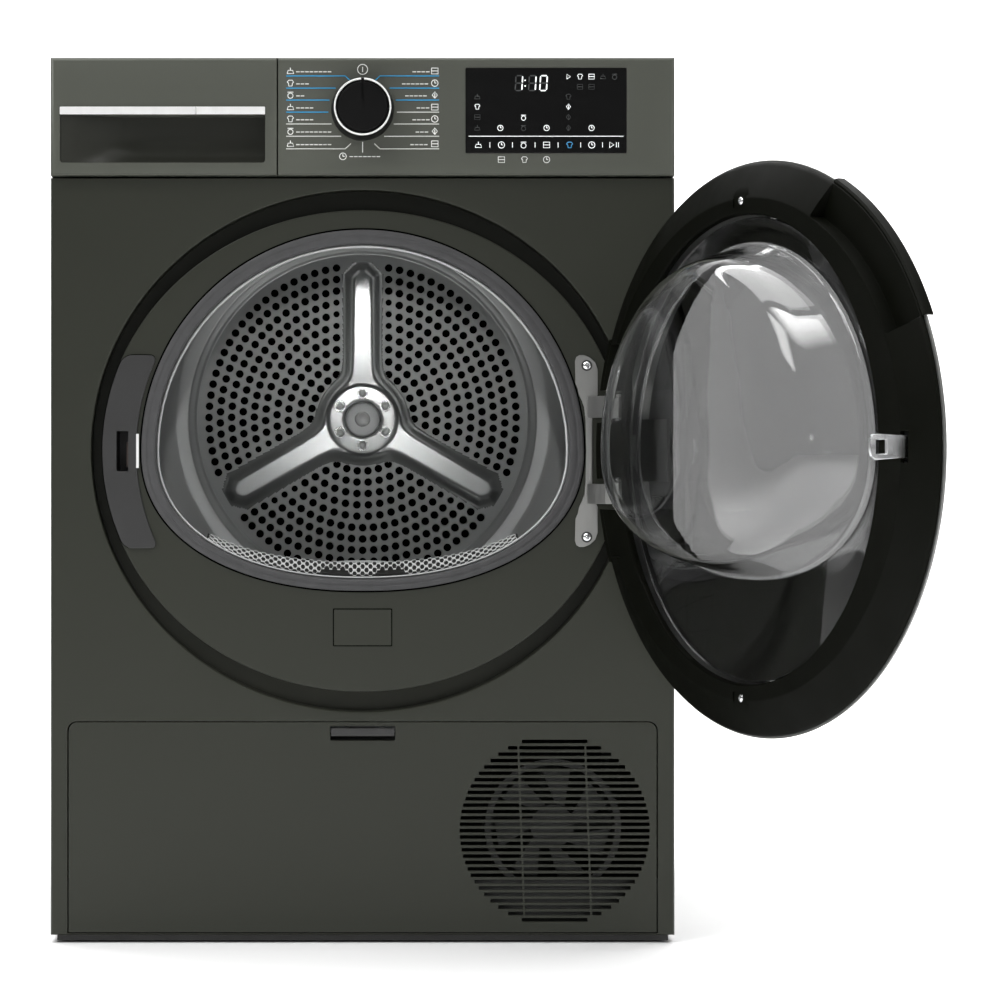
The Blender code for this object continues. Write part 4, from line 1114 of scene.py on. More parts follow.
def knob():
    """The round selector with its pointer slot and its pale ring, open at the top."""
    front = FASCIA_FRONT - 0.0006
    body = ((0, 0.0236), (0.0222, 0.0236), (0.0230, 0.0232), (0.0234, 0.0222), (0.0234, 0.0200))
    skirt = ((0.0272, 0.0200), (0.0284, 0.0150), (0.0300, 0.0010), (0.0296, 0.0))
    socket = ((0.0034, 0.0), (0.0034, 0.0140), (0, 0.0140))
    cap = turned("knob_body", (*body, *skirt, *socket), (0, front, KNOB_Z), (0, -1, 0), 128)
    pointer = box("pointer", (-0.0011, -0.3200, KNOB_Z + 0.0065), (0.0011, front - 0.0216, KNOB_Z + 0.0285))
    finish(cut(cap, pointer), "knob black", "selector", "program_knob")
    crown = ((0.0256, 0.0226), (0.0260, 0.0232), (0.0268, 0.0232), (0.0272, 0.0226))
    ring = (*crown, (0.0272, 0.0200), (0.0256, 0.0200))
    rim = turned("knob_ring", ring, (0, front, KNOB_Z), (0, -1, 0), 128, closed=True)
    gap = box("gap", (-0.0014, -0.3200, KNOB_Z + 0.0240), (0.0014, -0.3050, KNOB_Z + 0.0300))
    finish(cut(rim, gap), "white ink", "selector")


def dashes(x, z, length, y):
    """A row of short plain bars, from x to the right, where a control panel has its captions."""
    dash = 0.0034
    pitch = dash + 0.0009
    starts = [x + i * pitch for i in range(max(1, round(length / pitch)))]
    return [[(start, y, z), (start + dash, y, z)] for start in starts]


def panel_marks():
    """The lines that fan out from the selector, each with its plain caption and symbol."""
    front = FASCIA_FRONT - 0.00012
    rows = (0.8293, 0.8177, 0.8063, 0.7948, 0.7835, 0.7718, 0.7598)
    left_lengths = (0.036, 0.014, 0.009, 0.018, 0.016, 0.034, 0.036)
    right_lengths = (0.016, 0.026, 0.023, 0.012, 0.016, 0.013, 0.018)
    edge = 0.0730
    groups = {"blue ink": [], "pale ink": []}
    captions = []
    symbols = []
    for side, lengths, blues in ((-1, left_lengths, 4), (1, right_lengths, 3)):
        for number, (z, length) in enumerate(zip(rows, lengths)):
            rise = z - KNOB_Z
            outermost = number in (0, len(rows) - 1)
            start = 0.0166 if outermost else math.sqrt(0.0328**2 - rise**2)
            route = [(side * edge, front, z), (side * start, front, z)]
            if outermost:
                route.append((side * 0.0112, front, z - math.copysign(0.0050, rise)))
            groups["blue ink" if number < blues else "pale ink"].append(route)
            left = -0.0634 if side < 0 else 0.0636 - length
            captions += dashes(left, z + 0.0040, length, front)
            symbols += small_symbol((number * 2 + (side > 0)) % 6, side * 0.0689, z + 0.0048, 0.0031, front)
    for colour, routes in groups.items():
        finish(wires("dial_lines_" + colour.split()[0], routes, 0.00050), colour, "cabinet")
    finish(wires("dial_captions", captions, 0.00060), "pale ink", "cabinet")
    dial_symbols(symbols, front)
    option_symbols(front)


def dial_symbols(symbols, front):
    """The marks above and below the selector, together with the programmes' symbols."""
    marks = [arc_route(0, 0.8356, 0.0048, 0, 360, front), [(0, front, 0.8332), (0, front, 0.8380)]]
    marks.append([(0, front, 0.7664), (0, front, 0.7563)])
    marks.append(arc_route(-0.0188, 0.7526, 0.0032, 0, 360, front))
    marks.append([(-0.0188, front, 0.7526), (-0.0188, front, 0.7546)])
    marks.append([(-0.0188, front, 0.7526), (-0.0170, front, 0.7526)])
    marks += dashes(-0.0125, 0.7524, 0.030, front)
    finish(wires("dial_symbols", marks + symbols, 0.00042), "white ink", "cabinet")


def option_symbols(front):
    """The three symbols under the display."""
    under = []
    for number, x in enumerate((0.1325, 0.1545, 0.1756)):
        under += small_symbol(number + 1, x, 0.7495, 0.0030, front)
    finish(wires("option_symbols", under, 0.00036), "white ink", "cabinet")


def arc_route(x, z, radius, start, end, y, steps=20):
    """Part of a circle, as a route."""
    turns = [math.radians(start + (end - start) * i / steps) for i in range(steps + 1)]
    return [(x + radius * math.cos(turn), y, z + radius * math.sin(turn)) for turn in turns]


def small_symbol(kind, x, z, size, y):
    """A generic pictogram, as routes: a drop, a shirt, a towel, a bolt, a leaf or a dial."""

    def place(points):
        return [(x + size * across, y, z + size * up) for across, up in points]

    if kind == 0:
        bowl = ((-1, -0.8), (1, -0.8), (0.7, 0.2), (-0.7, 0.2), (-1, -0.8))
        return [place(bowl), place(((0, 0.2), (0, 1)))]
    if kind == 1:
        return [place(((-1, 0.9), (-1, -0.9), (1, -0.9), (1, 0.9), (-1, 0.9))), place(((-1, 0), (1, 0)))]
    if kind == 2:
        shoulders = ((-1, 0.3), (-0.5, 0.9), (0.5, 0.9), (1, 0.3))
        return [place((*shoulders, (0.6, 0), (0.5, -0.9), (-0.5, -0.9), (-0.6, 0), (-1, 0.3)))]
    if kind == 3:
        return [arc_route(x, z, size, 0, 360, y), place(((0, 0), (0, 0.7))), place(((0, 0), (0.5, 0)))]
    if kind == 4:
        return [arc_route(x, z - size * 0.2, size * 0.8, 0, 360, y), place(((-0.9, 0.9), (0.9, 0.9)))]
    return [place(((0, -1), (-0.8, 0), (0, 1), (0.8, 0), (0, -1))), place(((0, -1), (0, 0.5)))]


def display():
    """The black pane and its clock digits."""
    low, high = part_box("display_window")
    outline = rounded(low.x, low.z, high.x, high.z, 0.0012, 0.0012, 4)
    pane = flat("display_pane", [outline], low.y, high.y, round_edge=0.0003)
    finish(pane, "black gloss", "cabinet", "display_window")
    front = low.y - 0.00008
    digits = {True: [], False: []}
    for x, shown in ((0.1492, "bc"), (0.1620, "bc"), (0.1727, "abcdef")):
        for name, outline in seven_segments(x, 0.8225, 0.0064, 0.0142, lean=0.06):
            digits[name in shown].append(outline)
    digits[True] += [circle(0.1551, z, 0.0007, 12) for z in (0.8198, 0.8252)]
    for bright, outlines in digits.items():
        shapes = [flat("segment", [outline], front - 0.00004, front) for outline in outlines]
        name = "lit_segments" if bright else "unlit_segments"
        finish(gather(name, shapes), "bright digits" if bright else "dim digits", "cabinet")
    display_symbols(front)


def display_symbols(front):
    """The level line, the touch keys with the strokes between them, and the small indicators."""

    def routes(*shapes):
        return [[(x, front, z) for x, z in shape] for shape in shapes]

    def symbols(places, size=0.0026):
        return [route for x, z, kind in places for route in small_symbol(kind, x, z, size, front)]

    keys = (0.1105, 0.1325, 0.1536, 0.1756, 0.1976, 0.2187)
    strokes = [(first + second) / 2 for first, second in zip(keys, keys[1:])] + [0.2290]
    key_symbols = [(x, 0.7635, kind) for x, kind in zip(keys, (0, 3, 4, 1, 2, 3))]
    blue = [key_symbols.pop(4)]
    lines = routes(((0.1013, 0.7718), (0.2491, 0.7718)))
    lines += routes(*(((x, 0.7610), (x, 0.7660)) for x in strokes))
    lines += symbols(key_symbols, 0.0030)
    lines += routes(((0.2358, 0.7610), (0.2358, 0.7662), (0.2400, 0.7636), (0.2358, 0.7610)))
    lines += routes(*(((x, 0.7612), (x, 0.7660)) for x in (0.2422, 0.2442)))
    lines += routes(((0.1950, 0.8264), (0.1950, 0.8310), (0.1984, 0.8287), (0.1950, 0.8264)))
    lines += symbols(((0.1095, 0.8000, 2), (0.2185, 0.8287, 1), (0.2075, 0.8287, 2), (0.1536, 0.7896, 4)))
    lines += symbols(((0.1965, 0.8000, 5), (0.1315, 0.7797, 3), (0.1756, 0.7797, 3), (0.2185, 0.7797, 3)))
    finish(wires("display_symbols", lines, 0.00028), "bright digits", "cabinet")

    dim = symbols(((0.1095, 0.8095, 0), (0.1095, 0.7900, 1), (0.1095, 0.7797, 0), (0.1536, 0.7797, 4)))
    dim += symbols(((0.1965, 0.8095, 2), (0.1965, 0.7900, 5), (0.1965, 0.7797, 5), (0.2295, 0.8287, 0)))
    dim += symbols(((0.2405, 0.8287, 4), (0.2075, 0.8190, 1), (0.2185, 0.8190, 1)))
    finish(wires("dim_symbols", dim, 0.00024), "dim digits", "cabinet")
    finish(wires("blue_symbol", symbols(blue, 0.0030), 0.00034), "blue digit", "cabinet")


def seven_segments(x, z, width, height, lean):
    """The named bars of one digit, each a six-sided outline."""
    half = height / 2
    thick = 0.0006
    gap = 0.0005

    def level(up):
        left = x - width / 2 + gap
        right = x + width / 2 - gap
        over = [(left, up), (left + thick, up + thick), (right - thick, up + thick)]
        return [*over, (right, up), (right - thick, up - thick), (left + thick, up - thick)]

    def upright(across, bottom, top):
        low = bottom + gap
        high = top - gap
        start = [(across, low), (across + thick, low + thick), (across + thick, high - thick)]
        return [*start, (across, high), (across - thick, high - thick), (across - thick, low + thick)]

    right = x + width / 2
    left = x - width / 2
    bars = {
        "a": level(z + half),
        "b": upright(right, z, z + half),
        "c": upright(right, z - half, z),
        "d": level(z - half),
        "e": upright(left, z - half, z),
        "f": upright(left, z, z + half),
        "g": level(z),
    }
    return [
        (name, [(across + (up - z) * lean, up) for across, up in outline]) for name, outline in bars.items()
    ]


# Door ------------------------------


def door_turns():
    """Even steps round the door's rim, and a close pair at each end of the finger pocket."""
    even = [math.tau * i / FINE for i in range(FINE)]
    ends = [math.radians(end + side) for end in (GRIP_START, GRIP_END) for side in (-0.15, 0.15)]
    clear_of_ends = [turn for turn in even if all(abs(turn - end) > 0.010 for end in ends)]
    return sorted(clear_of_ends + ends)


def oval(half_width, half_height, y, grip_y=None):
    """The points of a door ring at a depth, which may differ along the finger pocket."""
    ring = []
    for turn in door_turns():
        in_grip = grip_y is not None and GRIP_START < math.degrees(turn) < GRIP_END
        depth = grip_y if in_grip else y
        ring.append((half_width * math.cos(turn), depth, OPENING_Z + half_height * math.sin(turn)))
    return ring


def rim(shrink, y, grip_y=None):
    """A ring that runs inside the door's edge."""
    return oval(DOOR_HALF_WIDTH - shrink, DOOR_HALF_HEIGHT - shrink, y, grip_y)


def knuckle_rooms():
    """The room that the hinge's bracket and knuckles need when the door is shut."""
    rooms = [box("bracket_room", (0.196, -0.2940, 0.372), (0.280, -0.27, 0.571))]
    for low, high in KNUCKLES:
        rooms.append(box("knuckle_room", (0.212, -0.3200, low - 0.005), (0.281, -0.28, high + 0.005)))
    return rooms


def door_frame():
    """The black inner frame: a flat ring, a slope out to the rim, and the finger pocket in the slope."""
    rings = [
        rim(0.0020, -0.3005), rim(0.0020, -0.2990), rim(0.0028, -0.2978, -0.2980),
        rim(0.0050, -0.2964, -0.2977), rim(0.0120, -0.2930, -0.2976),
        rim(0.0220, -0.2882, -0.2975), rim(0.0310, -0.2847, -0.2974),
        rim(0.0325, -0.2841, -0.2970), rim(0.0333, -0.2839, -0.2843), rim(0.0345, -0.2838),
        oval(0.2010, 0.2075, -0.2838), oval(0.1988, 0.2053, -0.2836),
        oval(0.1975, 0.2043, -0.2841), oval(0.1965, 0.2035, -0.2865),
        oval(0.1965, 0.2035, -0.2890), oval(0.2000, 0.2068, -0.2890),
        oval(0.2000, 0.2068, -0.2866), rim(0.0375, -0.2866), rim(0.0350, -0.2876, -0.2992),
        rim(0.0060, -0.2998, -0.3000), rim(0.0050, -0.3005),
    ]
    ring = loft("door_inner_ring", rings, closed=True)
    heights = [OPENING_Z + 0.105 * step / 20 for step in range(-20, 21)]
    half_width = DOOR_HALF_WIDTH - 0.0045
    half_height = DOOR_HALF_HEIGHT - 0.0045
    edge = [(half_width * math.sqrt(1 - ((z - OPENING_Z) / half_height) ** 2), z) for z in heights]
    pocket = flat("hinge_pocket", [[*edge, (0.198, heights[-1]), (0.198, heights[0])]], -0.2975, -0.2943)
    ring = join(ring, pocket)
    screws = (OPENING_Z + 0.2160, OPENING_Z - 0.2160)
    wells = [box("well", (-0.0100, -0.2850, z - 0.0050), (0.0100, -0.28, z + 0.0050)) for z in screws]
    hook_way = box("hook_way", (-0.2335, -0.2990, 0.4600), (-0.2265, -0.27, 0.4850))
    ring = combine(ring, [*knuckle_rooms(), hook_way, *wells], "DIFFERENCE", "MANIFOLD")
    finish(ring, "door black", "door", "door_inner_frame", angle=24)
    for z in screws:
        cross_screw("door_screw", 0, -0.2849, z, 0.0034, "door", 1, "satin chrome")


def grip_lip():
    """The frame's edge turned out over the grey ring where fingers take hold of the door."""
    steps = 48
    section = (
        (0.0030, -0.2990), (0.0000, -0.2978), (-0.0018, -0.2990), (-0.0024, -0.3020),
        (-0.0022, -0.3075), (-0.0004, -0.3085), (-0.0004, -0.3000),
    )
    rows = []
    for step in range(steps + 1):
        turn = math.radians(GRIP_START + (GRIP_END - GRIP_START) * step / steps)
        row = []
        for shrink, y in section:
            x = (DOOR_HALF_WIDTH - shrink) * math.cos(turn)
            z = OPENING_Z + (DOOR_HALF_HEIGHT - shrink) * math.sin(turn)
            row.append((x, y, z))
        rows.append(row)
    finish(bar("grip_lip", rows), "door black", "door")


def door_bezel():
    """The grey outer ring that shows as a thin line round the door's edge."""
    section = (
        (0.0002, -0.3010), (0, -0.3016), (0.0006, -0.3032), (0.0024, -0.3050), (0.0060, -0.3076),
        (0.0120, -0.3125), (0.0190, -0.3180), (0.0260, -0.3234), (0.0330, -0.3280),
        (0.0400, -0.3314), (0.0450, -0.3330), (0.0460, -0.3322), (0.0460, -0.3290),
        (0.0345, -0.3245), (0.0210, -0.3150), (0.0080, -0.3050), (0.0040, -0.3020),
        (0.0034, -0.3010),
    )
    bezel = loft("door_outer_ring", [rim(*point) for point in section], closed=True)
    finish(cut(bezel, *knuckle_rooms()), "trim", "door", "door_outer_bezel")


def door_window():
    """The smoked outer window, with the black printed border that hides the glass's edge."""
    half_width = DOOR_HALF_WIDTH - 0.0465
    half_height = DOOR_HALF_HEIGHT - 0.0465
    dome = 0.006
    shares = (1, 0.97, 0.92, 0.84, 0.74, 0.6, 0.45, 0.3, 0.15, 0.05)
    rings = [
        at_depth(ellipse(half_width * share, half_height * share, 96), -0.3300 - dome * (1 - share**2))
        for share in shares
    ]
    pane = settle(loft("outer_window", rings, wall=-0.0035, cap=True))
    finish(pane, "smoked glass", "door", "door_outer_window")
    printed("printed_border", (0.2120, 0.2020), (0.1960, 0.1300), -0.3262, -0.0030)


def printed(name, oval_size, opening_size, y, slope=0.0):
    """A printed black border from an oval to the opening's own outline."""
    pairs = list(zip(ellipse(*oval_size), opening(*opening_size)))
    rings = []
    for share in (0.0, 0.25, 0.5, 0.75, 1.0):
        outline = [(a[0] + (b[0] - a[0]) * share, a[1] + (b[1] - a[1]) * share) for a, b in pairs]
        rings.append(at_depth(outline, y + slope * share))
    finish(loft(name, rings), "print", "door")


def glass_bowl():
    """One pressing of clear glass: a flat rim, a rounded shoulder and a deep D-shaped bowl."""
    inside = (
        (0.1775, 0.1105, -0.2960), (0.1750, 0.1082, -0.2945), (0.1730, 0.1065, -0.2915),
        (0.1675, 0.1012, -0.2720), (0.1625, 0.0967, -0.2550), (0.1597, 0.0940, -0.2490),
        (0.1560, 0.0908, -0.2438), (0.1505, 0.0862, -0.2397), (0.1430, 0.0802, -0.2368),
        (0.1285, 0.0706, -0.2338), (0.0990, 0.0550, -0.2315), (0.0590, 0.0340, -0.2297),
        (0.0200, 0.0120, -0.2290),
    )
    outside = (
        (0.0200, 0.0120, -0.2255), (0.0600, 0.0350, -0.2262), (0.1000, 0.0560, -0.2280),
        (0.1300, 0.0720, -0.2302), (0.1450, 0.0820, -0.2330), (0.1530, 0.0885, -0.2362),
        (0.1590, 0.0935, -0.2410), (0.1630, 0.0970, -0.2470), (0.1660, 0.1000, -0.2540),
        (0.1710, 0.1045, -0.2700), (0.1765, 0.1095, -0.2885), (0.1775, 0.1105, -0.2908),
        (0.1790, 0.1120, -0.2920), (0.1810, 0.1140, -0.2925),
    )
    edge = ((0.1935, 0.2005, -0.2925), (0.1945, 0.2015, -0.2935), (0.1945, 0.2015, -0.2950))
    rings = [ellipse_ring(0.1935, 0.2005, -0.2960)]
    rings += [opening_ring(*point) for point in (*inside, *outside)]
    rings += [ellipse_ring(*point) for point in edge]
    form = bmesh.new()
    rows = add_rows(form, rings)
    inner = rows[: len(inside) + 1]
    outer = rows[len(inside) + 1 :] + rows[:1]
    skin(form, inner)
    form.faces.new(inner[-1])
    form.faces.new(outer[0])
    skin(form, outer)
    bmesh.ops.recalc_face_normals(form, faces=form.faces)
    finish(from_form("glass_pressing", form), "glass", "door", "door_glass_bowl", angle=60)
    printed("rim_print", (0.1940, 0.2010), (0.1795, 0.1125), -0.2968)


def latch_hook():
    """The hook that the lock holds, on its foot."""
    foot = rounded(-0.2360, 0.4580, -0.2180, 0.4870, 0.003, 0.003)
    finish(flat("hook_base", [foot], -0.2925, -0.2905, round_edge=0.0004), "steel", "door")
    side = [
        (-0.2910, 0.4640), (-0.2560, 0.4620), (-0.2520, 0.4650), (-0.2510, 0.4700),
        (-0.2510, 0.4790), (-0.2530, 0.4822), (-0.2570, 0.4830), (-0.2910, 0.4815),
    ]
    eye = [(-0.2670, 0.4670), (-0.2565, 0.4670), (-0.2565, 0.4780), (-0.2670, 0.4780)]
    hook = flat("hook_blade", [side, eye], -0.2315, -0.2285, FACING_SIDE, round_edge=0.0005)
    hook.data.transform(Matrix.Translation((-0.2300, 0.2300, 0)))
    finish(hook, "satin chrome", "door", "latch_hook")


# Drum ------------------------------


def star_gap(x, up):
    """How far a point lies outside the star's raised top: the hub plate blended into three arms."""
    blend = 0.0065
    gaps = [math.hypot(x, up) - HUB_RADIUS]
    for number in range(3):
        turn = math.tau * number / 3
        along = x * math.sin(turn) + up * math.cos(turn)
        aside = abs(x * math.cos(turn) - up * math.sin(turn)) - ARM_HALF
        beyond = max(along - ARM_END, -along)
        corner = aside + beyond + 0.0065
        gaps.append(max(aside, beyond, corner * math.sqrt(0.5)))
    return -blend * math.log(sum(math.exp(-gap / blend) for gap in gaps))


def star_height(radius, turn):
    """How far the pressed sheet stands out of the flat plate at a point."""
    gap = star_gap(radius * math.sin(turn), radius * math.cos(turn))
    full = STAR_HEIGHT + ARM_LEAN * max(0, radius - HUB_RADIUS)
    raised = full * (1 - ease(gap / 0.0128))
    plate = 0.0007 * ease((HUB_RADIUS - 0.0005 - radius) / 0.0008)
    dish = -0.0030 * ease((0.0215 - radius) / 0.0025)
    return raised + plate + dish


def drum_star():
    """The three raised arms and the round plate that stiffen the rear wall, pressed from its sheet."""
    around = 480
    outward = 122
    radii = [0.0015 + 0.1835 * i / outward for i in range(outward + 1)]
    form = bmesh.new()
    rings = []
    for radius in radii:
        ring = []
        for i in range(around):
            turn = math.tau * i / around
            y = REAR_PLATE + 0.0001 - star_height(radius, turn)
            ring.append(form.verts.new((radius * math.sin(turn), y, DRUM_Z + radius * math.cos(turn))))
        rings.append(ring)
    for ring, following in zip(rings, rings[1:]):
        for i in range(around):
            j = (i + 1) % around
            corners = (ring[i], ring[j], following[j], following[i])
            if min(corner.co.y for corner in corners) < REAR_PLATE:
                form.faces.new(corners)
    form.faces.new(rings[0])
    loose = [vert for vert in form.verts if not vert.link_faces]
    bmesh.ops.delete(form, geom=loose, context="VERTS")
    bmesh.ops.recalc_face_normals(form, faces=form.faces)
    star = thicken(from_form("drum_star", form), 0.0008)
    finish(settle(star), "star steel", "drum", angle=60)


def perforations():
    """Rings of holes in the three fields between the arms, smaller where the outer ones near an arm."""
    holes = []
    for ring in range(HOLE_RINGS):
        radius = FIRST_HOLE_RING + HOLE_RING_PITCH * ring
        start = math.asin(HOLE_ASIDE / radius)
        span = math.tau / 3 - 2 * start
        steps = round(radius * span / HOLE_PITCH)
        for field in range(3):
            for step in range(steps + 1):
                turn = math.tau * field / 3 + start + span * step / steps
                small = ring in (4, 5, 6) and step in (0, steps)
                size = SMALL_HOLE_RADIUS if small else HOLE_RADIUS
                holes.append(circle(radius * math.sin(turn), DRUM_Z + radius * math.cos(turn), size, 20))
    return holes


def rear_wall():
    """The pierced plate, the steps around it and, behind its holes, a black sheet of painted shade that
    stands for the dark duct.
    """
    outlines = [circle(0, DRUM_Z, 0.1888, 128), *perforations()]
    plate = flat("pierced_plate", outlines, REAR_PLATE, REAR_PLATE + 0.0010, round_edge=0.0004)
    finish(plate, "rear steel", "drum", angle=20)

    # Painted highlight: the steps take a lighter copy of the rear wall's steel, where they catch the light.
    steps = (
        (0.1880, 0.2330), (0.1895, 0.2326), (0.1905, 0.2312), (0.1925, 0.2300), (0.1955, 0.2292),
        (0.1972, 0.2276), (0.1990, 0.2262), (0.2100, 0.2262), (0.2130, 0.2250), (0.2160, 0.2262),
        (0.2640, 0.2262), (0.2676, 0.2240), (0.2688, 0.2150), (0.2700, 0.2150), (0.2700, 0.2276),
        (0.2640, 0.2276), (0.1990, 0.2276), (0.1885, 0.2344),
    )
    profile = [(radius, -y) for radius, y in steps]
    ring = turned("rear_steps", profile, (0, 0, DRUM_Z), (0, -1, 0), 160, closed=True)
    finish(ring, "step steel", "drum", "drum_rear_wall", angle=50)
    # Painted shade: a black disc behind the holes stands for the darkness of the duct.
    dark = cylinder("duct_darkness", (0, 0.2385, DRUM_Z), (0, 0.2395, DRUM_Z), 0.1820, 96)
    hub_way = cylinder("hub_way", (0, 0.23, DRUM_Z), (0, 0.25, DRUM_Z), 0.0520, 48)
    finish(cut(dark, hub_way), "shadow", "drum")


def hub():
    """The round bearing cap in the middle of the star, in its dark ring, and six bolts around it."""
    face = REAR_PLATE + 0.0001 - STAR_HEIGHT - 0.0007

    def at_hub(name, profile, back=0.0, x=0.0, z=DRUM_Z, sides=72, closed=False):
        return turned(name, profile, (x, face + back, z), (0, -1, 0), sides, closed)

    disc = (
        (0, 0.0030), (0.0150, 0.0030), (0.0184, 0.0024), (0.0198, 0.0010), (0.0200, -0.0010), (0, -0.0010),
    )
    finish(at_hub("hub_disc", disc, 0.0006), "hub steel", "drum")
    cap = ((0, 0.0062), (0.0060, 0.0060), (0.0080, 0.0048), (0.0086, 0.0030), (0.0086, 0.0), (0, 0.0))
    finish(at_hub("hub_cap", cap, 0.0006), "bright trim", "drum")
    groove = ((0.0212, 0.0), (0.0212, 0.0034), (0.0204, 0.0034), (0.0204, 0.0))
    finish(at_hub("hub_groove", groove, 0.0032, closed=True), "dark plastic", "drum")
    seat_ring = ((0.0066, 0.0), (0.0066, 0.0006), (0.0060, 0.0012), (0.0052, 0.0012), (0.0052, 0.0))
    socket = ((0, 0.0014), (0.0018, 0.0014), (0.0022, 0.0026))
    head = (*socket, (0.0034, 0.0028), (0.0043, 0.0022), (0.0045, -0.0004), (0, -0.0004))
    for i in range(6):
        turn = math.radians(60 * i)
        x = 0.0296 * math.sin(turn)
        z = DRUM_Z + 0.0296 * math.cos(turn)
        finish(at_hub("bolt_seat", seat_ring, 0.0002, x, z, 36, True), "steel", "drum")
        finish(at_hub("hub_bolt", head, 0.0, x, z, 30), "hub steel", "drum")


def drum_shell():
    """The drum's thin wall, with a rolled bead near its front."""
    low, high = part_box("drum_shell")
    radius = 0.272
    wall = 0.0012
    profile = [
        (radius, -low.y), (radius, 0.112), (radius + 0.003, 0.108), (radius + 0.003, 0.098),
        (radius, 0.094), (radius, 0.0), (radius, -high.y), (radius - wall, -high.y),
        (radius - wall, 0.0), (radius - wall, 0.094), (radius - wall + 0.003, 0.098),
        (radius - wall + 0.003, 0.108), (radius - wall, 0.112), (radius - wall, -low.y),
    ]
    shell = turned("drum_wall", profile, (0, 0, DRUM_Z), (0, -1, 0), 160, closed=True)
    finish(shell, "drum steel", "drum", "drum_shell", angle=40)


def throat_floor(x):
    """The height of the clear opening's lower edge, away from the middle."""
    return opening_floor(0.1986, 0.1222, x)


def on_ramp(x, share, lift=0.0):
    """A point on the slope along the bottom of the opening, from its front edge to its back edge."""
    y = RAMP_FRONT + (RAMP_BACK - RAMP_FRONT) * share
    rise = RAMP_RISE * (1 - 28.0 * x**2)
    return (x, y, throat_floor(x) + 0.0008 + rise * share + lift)


def lint_filter():
    """The filter's frame, which drops into its slot below the opening, with its sloping top."""
    frame_body = box("filter_body", (-FILTER_HALF, -0.2553, 0.215), (FILTER_HALF, -0.2267, 0.345))
    windows = []
    for i in range(3):
        left = -0.089 + 0.062 * i
        right = left + 0.054
        windows.append(box("front_window", (left, -0.2563, 0.226), (right, -0.2540, 0.328)))
        windows.append(box("back_window", (left, -0.2280, 0.226), (right, -0.2257, 0.328)))
        for front, back in ((-0.2544, -0.2538), (-0.2282, -0.2276)):
            cloth = box("filter_cloth", (left + 0.0002, front, 0.2262), (right - 0.0002, back, 0.3278))
            finish(cloth, "felt", "filter")
    frame_body = cut(frame_body, *windows)
    finish(frame_body, "pale plastic", "filter", "lint_filter", bevel=0.0008)
    ramp("filter_top", -FILTER_HALF, FILTER_HALF, "filter")
    ramp("ramp_left", -RAMP_HALF, -FILTER_HALF - 0.0006, "cabinet")
    ramp("ramp_right", FILTER_HALF + 0.0006, RAMP_HALF, "cabinet")


def ramp(name, left, right, body):
    """A dark wedge that follows the opening's lower curve."""
    steps = 48
    rows = []
    for i in range(steps + 1):
        x = left + (right - left) * i / steps
        front = on_ramp(x, 0.0)
        back = on_ramp(x, 1.0)
        under = front[2] - 0.0040
        rows.append((front, back, (x, back[1], under), (x, front[1], under)))
    finish(bar(name, rows), "black plastic", body)


def lattice_cell(form, x, share, length, height):
    """One six-sided cell on the slope: a flat rim between its outline and its hole."""
    hexagon = ((-1, 0), (-0.5, 1), (0.5, 1), (1, 0), (0.5, -1), (-0.5, -1))
    rings = []
    for across, along in ((1.0, 1.0), (0.90, 0.74)):
        ring = []
        for side, up in hexagon:
            place = min(1.0, max(0.0, share + up * height * along))
            ring.append(form.verts.new(on_ramp(x + side * length * across, place, 0.0012)))
        rings.append(ring)
    outer, inner = rings
    for i in range(6):
        j = (i + 1) % 6
        if (outer[i].co - outer[j].co).length > 1e-5:
            form.faces.new((outer[i], outer[j], inner[j], inner[i]))


def throat_lattice():
    """The pierced white honeycomb on the slope, left open over the filter's two finger slots."""
    length = 0.00257
    height = 0.26
    forms = {"filter": bmesh.new(), "left": bmesh.new(), "right": bmesh.new()}
    reach = round(RAMP_HALF / (1.5 * length)) - 1
    for column in range(-reach, reach + 1):
        x = column * 1.5 * length
        part = "filter" if abs(x) < FILTER_HALF else "left" if x < 0 else "right"
        for row in range(4):
            over_slot = SLOT_START < abs(x) < SLOT_END and row < 2
            if (row + column) % 2 == 0 and not over_slot:
                lattice_cell(forms[part], x, height * (row + 0.5), length, height)
    for part, form in forms.items():
        bmesh.ops.remove_doubles(form, verts=form.verts, dist=1e-5)
        bmesh.ops.recalc_face_normals(form, faces=form.faces)
        net = thicken(from_form("lattice_" + part, form), 0.0009, side=0)
        finish(settle(net), "lattice white", "filter" if part == "filter" else "cabinet")


def filter_handle():
    """The rims of the two finger slots, and the low ridge between them at the filter's back."""
    rims = []
    for side in (-1, 1):
        points = rounded(SLOT_START + 0.0006, 0.05, SLOT_END - 0.0006, 0.45, 0, 0, 1)
        rims.append([on_ramp(side * x, share, 0.0014) for x, share in points])
    finish(wires("slot_rims", rims, 0.0005, cyclic=(0, 1)), "grey plastic", "filter")
    turns = [math.pi * i / 16 for i in range(17)]
    ridge = [on_ramp(0.026 * math.cos(turn), 1.0, 0.0004 + 0.0022 * math.sin(turn)) for turn in turns]
    handle = flat("filter_ridge", [[(x, z) for x, _, z in ridge]], RAMP_BACK - 0.0012, RAMP_BACK + 0.0012)
    finish(handle, "pale plastic", "filter", bevel=0.0004)


# Service flap ------------------------------


def grille_slots():
    """The round field of level slots, each broken where one of the two leaning ribs crosses it."""
    slots = []
    for i in range(SLOT_COUNT):
        up = (i - (SLOT_COUNT - 1) / 2) * SLOT_PITCH
        half = math.sqrt(GRILLE_RADIUS**2 - up**2)
        ribs = [x - up * 0.035 for x in (-0.0320, 0.0322)]
        edges = [-half, *[rib for rib in ribs if abs(rib) < half - 0.004], half]
        for number, (left, right) in enumerate(zip(edges, edges[1:])):
            left += 0.0009 if number else 0
            right -= 0.0009 if number < len(edges) - 2 else 0
            low_corner = (GRILLE_X + left, GRILLE_Z + up - SLOT_HALF)
            high_corner = (GRILLE_X + right, GRILLE_Z + up + SLOT_HALF)
            slots.append(rounded(*low_corner, *high_corner, 0.0007, 0.0007, 2))
    return slots


